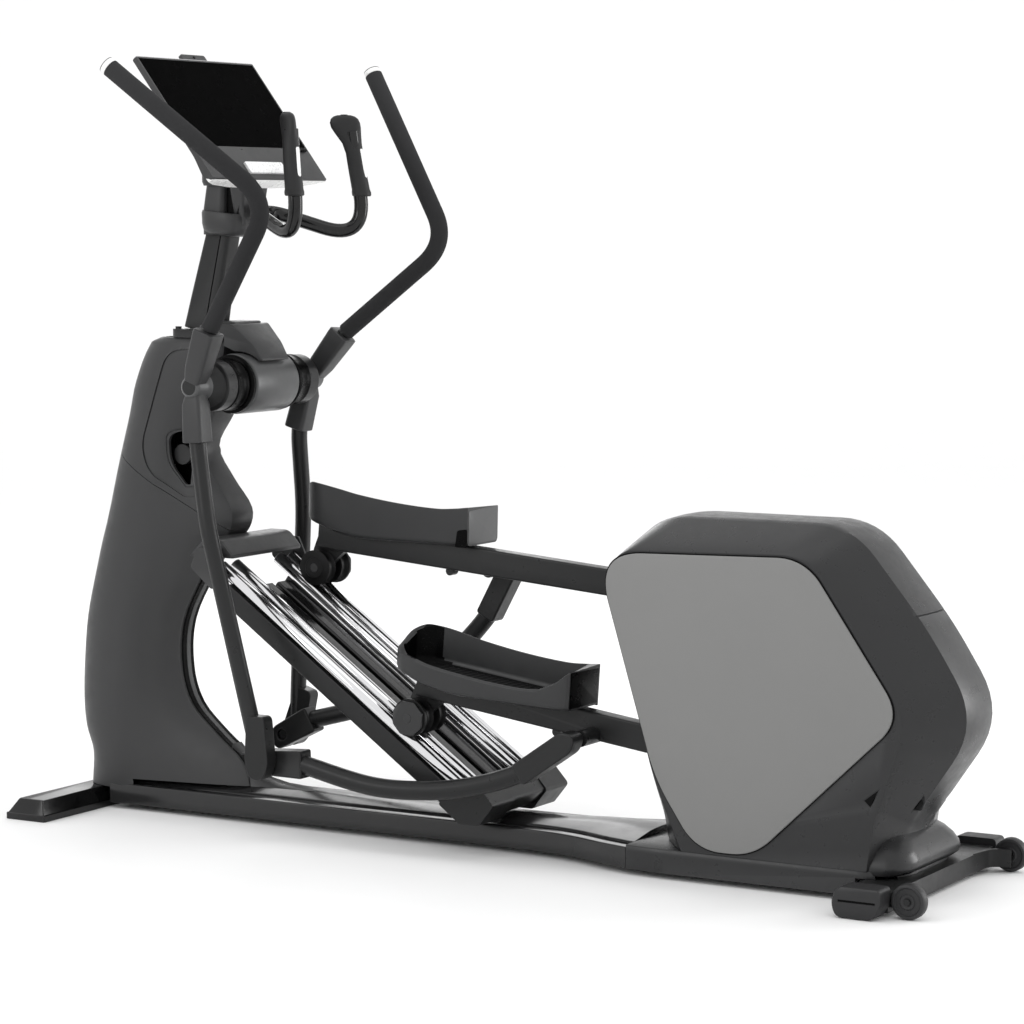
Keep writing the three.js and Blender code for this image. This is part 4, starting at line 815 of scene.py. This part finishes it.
seats = [moved(along_x(circle(y, 0, 14, 40), 0, 345.4), TRACK_FRAME) for y in (-126, -79, 79, 126)]
seats += [moved(box(0, 333.4, *y, -52.3, -10.5), TRACK_FRAME) for y in ((111.6, 142.4), (-142.4, -111.6))]
piece("track_foot_block", cut(foot_block, *seats), PAINT, "frame", "frame_paint", "track_foot", bevel=1.5,
      angle=36)

# ------------------------------------------------------------------ pedals, arms and rollers

PEDAL_RINGS = [(-37, 108, 136, 158, 140, 114), (-35, 98, 146, 165, 138, 108), (-31, 90, 154, 170, 136, 103),
               (-24, 81, 164, 175, 134, 98), (-12, 73, 174, 179, 132, 94), (6, 66, 182, 178, 130, 90),
               (30, 61.5, 188, 175, 125, 83), (60, 60, 190, 170, 118, 76), (114, 60, 190, 160, 111, 68),
               (208, 60, 190, 149, 103, 68),
               (300, 60, 190, 144, 104, 69), (345, 60, 190, 147, 124, 70), (366, 60.5, 186, 149.5, 142, 71),
               (372, 61, 180, 150, 146, 71)]


def arm_beam(grow):
    """The bar of a pedal arm, made larger all round."""
    half_y, half_z = 17 + grow, 27 + grow
    section = outline([(102 - half_y, -half_z, 5), (102 + half_y, -half_z, 5), (102 + half_y, half_z, 5),
            (102 - half_y, half_z, 5)], 4)
    return moved(along_x(section, -4, ARM_END), BEAM_FRAME)


def tray():
    """A foot tray, hollow above its floor and open at the top, seated over the arm's bar."""
    rings = rounded(PEDAL_RINGS)
    skin = loft([[(x, p.x, p.y) for p in outline([(a, f, 12), (b, f, 12), (b, hb, 3), (a, ha, 3)], 5)]
                 for x, a, b, ha, hb, f in rings])
    inside = [r for r in rings if -26 <= r[0] <= 350]
    hollow = []
    for i, (x, a, b, ha, hb, f) in enumerate(inside):
        station = x + (7 if i == 0 else 0)
        shrink = 6 + 16 * max(0, (6 - x) / 30)
        floor = max(101 - 0.07 * x, f + 6)
        hollow.append([(station, p.x, p.y) for p in outline([(a + shrink, floor, 16),
                (b - shrink, floor, 16), (b - shrink + 2, hb + 60), (a + shrink - 2, ha + 60)], 5)])
    return cut(skin, loft(hollow), arm_beam(0.5), box(-60, 72, 94.5, 110.5, 40, 88))


TRAY = tray()
for side, sign in SIDES:
    at = ARM_FRAME[side]
    arm = f"{side}_pedal_arm"
    shell = sided("tray", TRAY, side, PEDAL, arm, "pedal_plastic", f"pedal_{side}", bevel=1.2,
                  angle=36, at=at)
    # Painted shade: faces of the tray's hollow that face inwards take the near-black material.
    shell.data.materials.append(BLACK)
    for face in shell.data.polygons:
        spot = at.inverted() @ (face.center * 1000)
        spot.y *= sign
        facing = at.inverted().to_3x3() @ face.normal
        facing.y *= sign
        shaded_inner_wall = facing.dot(Vector((150, 124, 150)) - spot) > 0
        if -22 < spot.x < 350 and 68 < spot.y < 184 and spot.z > 84 and shaded_inner_wall:
            face.material_index = 1
    mat_rings = [[(x, y, 101.2 - 0.07 * x + h) for y, h in ((a, 0), (b, 0), (b - 1, 2), (a + 1, 2))]
                 for x, a, b in ((2, 84, 164), (10, 76, 172), (26, 70, 179), (338, 68, 182))]
    sided("tray_mat", loft(mat_rings), side, TREAD, arm, "pedal_plastic", bevel=0.6, at=at)
    ribs = [loft([[(x, 74, 103 - 0.07 * x), (x + 5, 74, 103 - 0.07 * x), (x + 4, 75, 104.6 - 0.07 * x),
                   (x + 1, 75, 104.6 - 0.07 * x)], [(x, 176, 103 - 0.07 * x), (x + 5, 176, 103 - 0.07 * x),
                   (x + 4, 175, 104.6 - 0.07 * x), (x + 1, 175, 104.6 - 0.07 * x)]])
                   for x in range(36, 330, 14)]
    verts, faces = [], []
    for v, f in ribs:
        faces += [tuple(k + len(verts) for k in face) for face in f]
        verts += v
    sided("tray_ribs", (verts, faces), side, TREAD, arm, "pedal_plastic", at=at)
    heel_face = [[(x, y, z) for y, z in outline([(65 + i, 75 + i, 4), (176 - i, 75 + i, 4),
            (176 - i, 146 - i, 4),
                 (65 + i, 142 - i, 4)], 4)] for x, i in ((371, 0), (372.6, 0), (373, 1.5))]
    # Painted light and shade: the heel face is light grey on the right pedal and near-black on the left,
    # though both pedals are alike.
    sided("heel_recess", loft(heel_face), side, CAST_AND_PAINTED_LIGHT if sign > 0 else BLACK, arm, "pedal_plastic", at=at)
    gap = along_y(outline([(344, 68, 2), (371, 68, 2), (371, 106, 5), (348, 102, 5)], 4), 58.9, 61)
    sided("heel_gap", gap, side, BLACK, arm, "pedal_plastic", bevel=0.5, at=at)

    nose = moved(pin_y(ARM_END, 0, 27, 85, 119), BEAM_FRAME)
    bracket = along_y(outline([(-22, 34, 4), (-22, 8, 14), (-20, -14, 16), (14, -20, 16), (26, 10, 10),
            (66, 46, 8), (66, 70), (-4, 80)], 6), 95, 110)
    boss = pin_y(*LINK_EYE, 16, 102, 172)
    knob = pin_y(312, 14, 9, 92, 112)
    bar = join(arm_beam(0), nose, bracket, boss, knob)
    bar = cut(bar, pin_y(0, 0, 13.4, 80, 125), pin_y(ARM_LENGTH, 0, 10.4, 60, 100))
    sided("arm_bar", bar, side, PAINT, arm, "frame_paint", f"pedal_arm_{side}", bevel=1.2, angle=36,
          at=at)
    groove = [[36.6, -12], [35.6, -11], [31.6, -7], [30.3, -3], [30, 0], [30.3, 3], [31.6, 7], [35.6, 11],
              [36.6, 12]]
    profile = [(9.3, 64), (21, 64), (22, 65)] + [(r, 79 + y) for r, y in groove] + [(13, 92), (13, 113)]
    profile += [(r, 126 + y) for r, y in groove] + [(26, 139), (36.5, 140.6), (38, 142), (38, 147),
            (36.5, 148.2), (9.3, 149)]
    sided("rollers", ring_body(0, 0, profile, 72), side, ROLLER, f"{side}_rollers",
          "roller_rubber", f"roller_set_{side}", angle=36, at=at)
    shaft = join(pin_y(0, 0, 9, 64, 156), along_y(outline([(-14, -33, 4), (14, -33, 4), (33, -14, 4),
            (33, 14, 4), (14, 33, 4), (-14, 33, 4), (-33, 14, 4), (-33, -14, 4)], 3), 149.4, 155))
    sided("axle", shaft, side, PEDAL, f"{side}_axle", "bright_steel", f"roller_axle_{side}",
          bevel=0.6, at=at)

# ------------------------------------------------------------------ swing arms and links

HANDLE = [(38, 219, 103), (215, 251, 366), (-118, 329, 640.2)]
GRIP_START, GRIP_RADIUS = (47.4, 220.7, 117), 18.3
LOWER = [(0, 206, -18), (2, 206, -109), (46, 236, -276), (163, 238, -717)]
FOOT = (171, -747)


def socket(start, end, stations):
    """A square cast clamp around a tube, from stations of (share of the way, half width)."""
    start, end = Vector(start), Vector(end)
    heading = (end - start).normalized()
    across = Vector((0, 1, 0)).cross(heading).normalized()
    out = heading.cross(across)
    loops = []
    for share, half in stations:
        middle = start.lerp(end, share)
        loops.append([tuple(middle + across * p.x + out * p.y) for p in outline(
            [(-half, -half, 9), (half, -half, 9), (half, half, 9), (-half, half, 9)], 5)])
    return loft(loops)


for side, _ in SIDES:
    at = SWING_FRAME[side]
    body = f"{side}_swing_arm"
    cone = turned(0, 0, [(30, 92), (50, 92), (52, 94), (52, 162), (50.5, 164), (44, 164.6), (42, 168),
            (33, 180), (25, 190), (22.5, 197), (22, 222), (20.5, 226), (17, 228.5), (10, 229)], 80)
    upper_clamp = socket((4, 213, 10), (44, 220, 112), ((0, 18), (0.25, 22), (0.9, 24.5), (0.985, 24.5),
            (1, 22.5)))
    lower_clamp = socket((0, 207, -16), (3, 206, -112), ((0, 17), (0.2, 22), (0.9, 23.5), (0.985, 23.5),
            (1, 21.5)))
    hub = cut(cone, pin_y(0, 0, 15.2, 80, 187))
    sided("swing_hub", hub, side, PAINT, body, "frame_paint", f"swing_arm_{side}", bevel=1.0,
          angle=34, at=at)
    clamps = cut(join(upper_clamp, lower_clamp), pin_y(0, 0, 15.2, 80, 187))
    sided("clamps", clamps, side, SHELL, body, "frame_paint", bevel=1.6, angle=34, at=at)
    boss = ring_body(0, 0, [(16, 186), (30, 182.6), (26, 191), (23.6, 198), (23.2, 222), (21, 226.4),
            (17.5, 229), (16, 229)])
    sided("hub_boss", boss, side, CAST_AND_PAINTED_LIGHT, body, "frame_paint", at=at)
    bearing = ring_body(0, 0, [(40, 91.4), (52.6, 91.4), (53.6, 93), (53.6, 100), (52.4, 102),
            (52.4, 124), (53.4, 126), (53.4, 130), (52.2, 132), (40, 132)], 80)
    sided("bearing_cup", bearing, side, BLACK, body, "frame_paint", at=at)
    upper_tube = sweep(bent_path(HANDLE, 74, 16), 13.5, 32)
    sided("upper_tube", upper_tube, side, PAINT, body, "frame_paint", angle=60, at=at)
    lower_path = bent_path(LOWER, 40, 10)
    sided("lower_tube", sweep(lower_path, 17, 32), side, PAINT, body, "frame_paint", angle=60, at=at)
    bracket = along_y(outline([(-24, 98, 12), (18, 98, 12), (27, 0, 26), (12, -30, 20), (-16, -30, 20),
            (-30, 0, 24)], 7), 223, 255)
    bracket = moved(bracket, Matrix.Translation((FOOT[0], 0, FOOT[1])))
    fork = join(bracket, pin_y(*FOOT, 11, 184, 226), pin_y(*FOOT, 20, 219.4, 225))
    sided("swing_foot", fork, side, PAINT, body, "frame_paint", bevel=4.0, angle=36, at=at, segments=4)
    end = Vector(HANDLE[2]) + (Vector(HANDLE[1]) - Vector(HANDLE[2])).normalized() * 12
    path = bent_path([GRIP_START, HANDLE[1], end], 74, 18)
    radii = [16.6] + [GRIP_RADIUS] * (len(path) - 1)
    path.insert(1, path[0] + (path[1] - path[0]).normalized() * 2)
    radii.insert(1, GRIP_RADIUS - 0.2)
    foam = sided("foam", sweep(path, radii, 44), side, FOAM, body, "foam", f"foam_grip_{side}",
                 angle=60, at=at)
    tip = Vector(HANDLE[2])
    heading = (tip - end).normalized()
    cap = sweep([end + heading * d for d in (0.4, 1.2, 8, 10.4)], [17.6, 18.2, 18.2, 17.4], 44)
    sided("handle_cap", cap, side, WHITE, body, "frame_paint", angle=40, at=at)
    disc = sweep([end + heading * d for d in (10.6, 11, 12, 12.4)], [17.0, 17.6, 17.4, 14], 44)
    sided("handle_disc", disc, side, CAST_AND_PAINTED_LIGHT, body, "frame_paint", angle=40, at=at)

    front = SWING_FRAME[side] @ Vector((FOOT[0], 0, FOOT[1]))
    rear = ARM_FRAME[side] @ Vector((LINK_EYE[0], 0, LINK_EYE[1]))
    link_at = pivot_frame(front.x, front.z, -math.degrees(math.atan2(rear.z - front.z, rear.x - front.x)))
    bow = smooth_path([(30, 200, 2), (80, 200, -12), (170, 200, -44), (240, 200, -64), (320, 200, -75),
            (410, 200, -78), (500, 200, -70), (580, 200, -52), (650, 200, -24)], 6)
    tube = sweep(bow, 19, 36, 0.95)
    front_boss = along_y(outline([(-28, -22, 14), (78, -38, 6), (84, 18, 6), (-14, 26, 14), (-34, 2, 14)],
            6), 178, 219)
    rear_boss = along_y(outline([(585, -77, 8), (700, -20, 18), (712, 8, 14), (684, 22, 16),
            (565, -37, 8)], 7), 178, 222)
    ends = cut(join(front_boss, rear_boss), pin_y(0, 0, 11.3, 150, 240))
    sided("link_tube", tube, side, PAINT, f"{side}_link", "frame_paint", f"link_{side}", angle=60,
          at=link_at)
    sided("link_ends", ends, side, PAINT, f"{side}_link", "frame_paint", bevel=7.0, angle=36,
          at=link_at, segments=5)

# ------------------------------------------------------------------ inner machinery

paint_node(PAINT, "base_frame", "column_post", "crank_arm_left", "crank_arm_right")
paint_node(STEEL, "pivot_axle", "crank_axle", "drive_pulley")
paint_node(IRON, "flywheel")
paint_node(ROLLER, "drive_belt")

# ------------------------------------------------------------------ stage

sweep_side = [(-12, 0), (9, 0)] + [(9 + 6 * math.sin(a), 6 - 6 * math.cos(a))
        for a in np.linspace(0.05, math.pi / 2, 24)]
sweep_side.append((15, 14))
ahead, right = Vector((-math.sin(TURN), math.cos(TURN), 0)), Vector((math.cos(TURN), math.sin(TURN), 0))
rows = [[ahead * d + right * w + Vector((0, 0, h)) for w in (-30, 30)] for d, h in sweep_side]
floor_mesh = bpy.data.meshes.new("floor")
floor_mesh.from_pydata([v for row in rows for v in row], [],
        [(2 * i, 2 * i + 1, 2 * i + 3, 2 * i + 2) for i in range(len(rows) - 1)])
floor_mat = finish("floor_pale", (0.93, 0.93, 0.93), 0.8, grain=60, bump=0.02, mottle=0.01, wear_and_highlight=0.0,
                   specular=0.1)
floor_mesh.materials.append(floor_mat)
floor_mesh.shade_smooth()
floor = bpy.data.objects.new("floor", floor_mesh)
bpy.context.scene.collection.objects.link(floor)

world = bpy.data.worlds.new("studio")
bpy.context.scene.world = world
world.use_nodes = True
world.node_tree.nodes["Background"].inputs["Color"].default_value = (1, 1, 1, 1)
world.node_tree.nodes["Background"].inputs["Strength"].default_value = 1.1


def softbox(name, place, target, width, height, power):
    light = bpy.data.lights.new(name, "AREA")
    light.shape = "RECTANGLE"
    light.size = width
    light.size_y = height
    light.energy = power
    obj = bpy.data.objects.new(name, light)
    bpy.context.scene.collection.objects.link(obj)
    obj.location = place
    obj.rotation_euler = (Vector(target) - Vector(place)).to_track_quat("-Z", "Y").to_euler()


softbox("overhead", (0.2, -0.5, 4.2), (0, 0, 0.6), 3.2, 2.0, 14)
softbox("front_key", (-2.2, -4.6, 2.6), (-0.1, 0, 0.7), 2.4, 1.8, 40)
softbox("rear_rim", (3.6, 3.0, 1.2), (0.6, 0, 0.5), 1.2, 2.2, 60)
softbox("far_fill", (-2.6, 3.2, 2.2), (0, 0, 0.8), 2.0, 2.0, 20)
bpy.context.scene.view_settings.view_transform = "Standard"
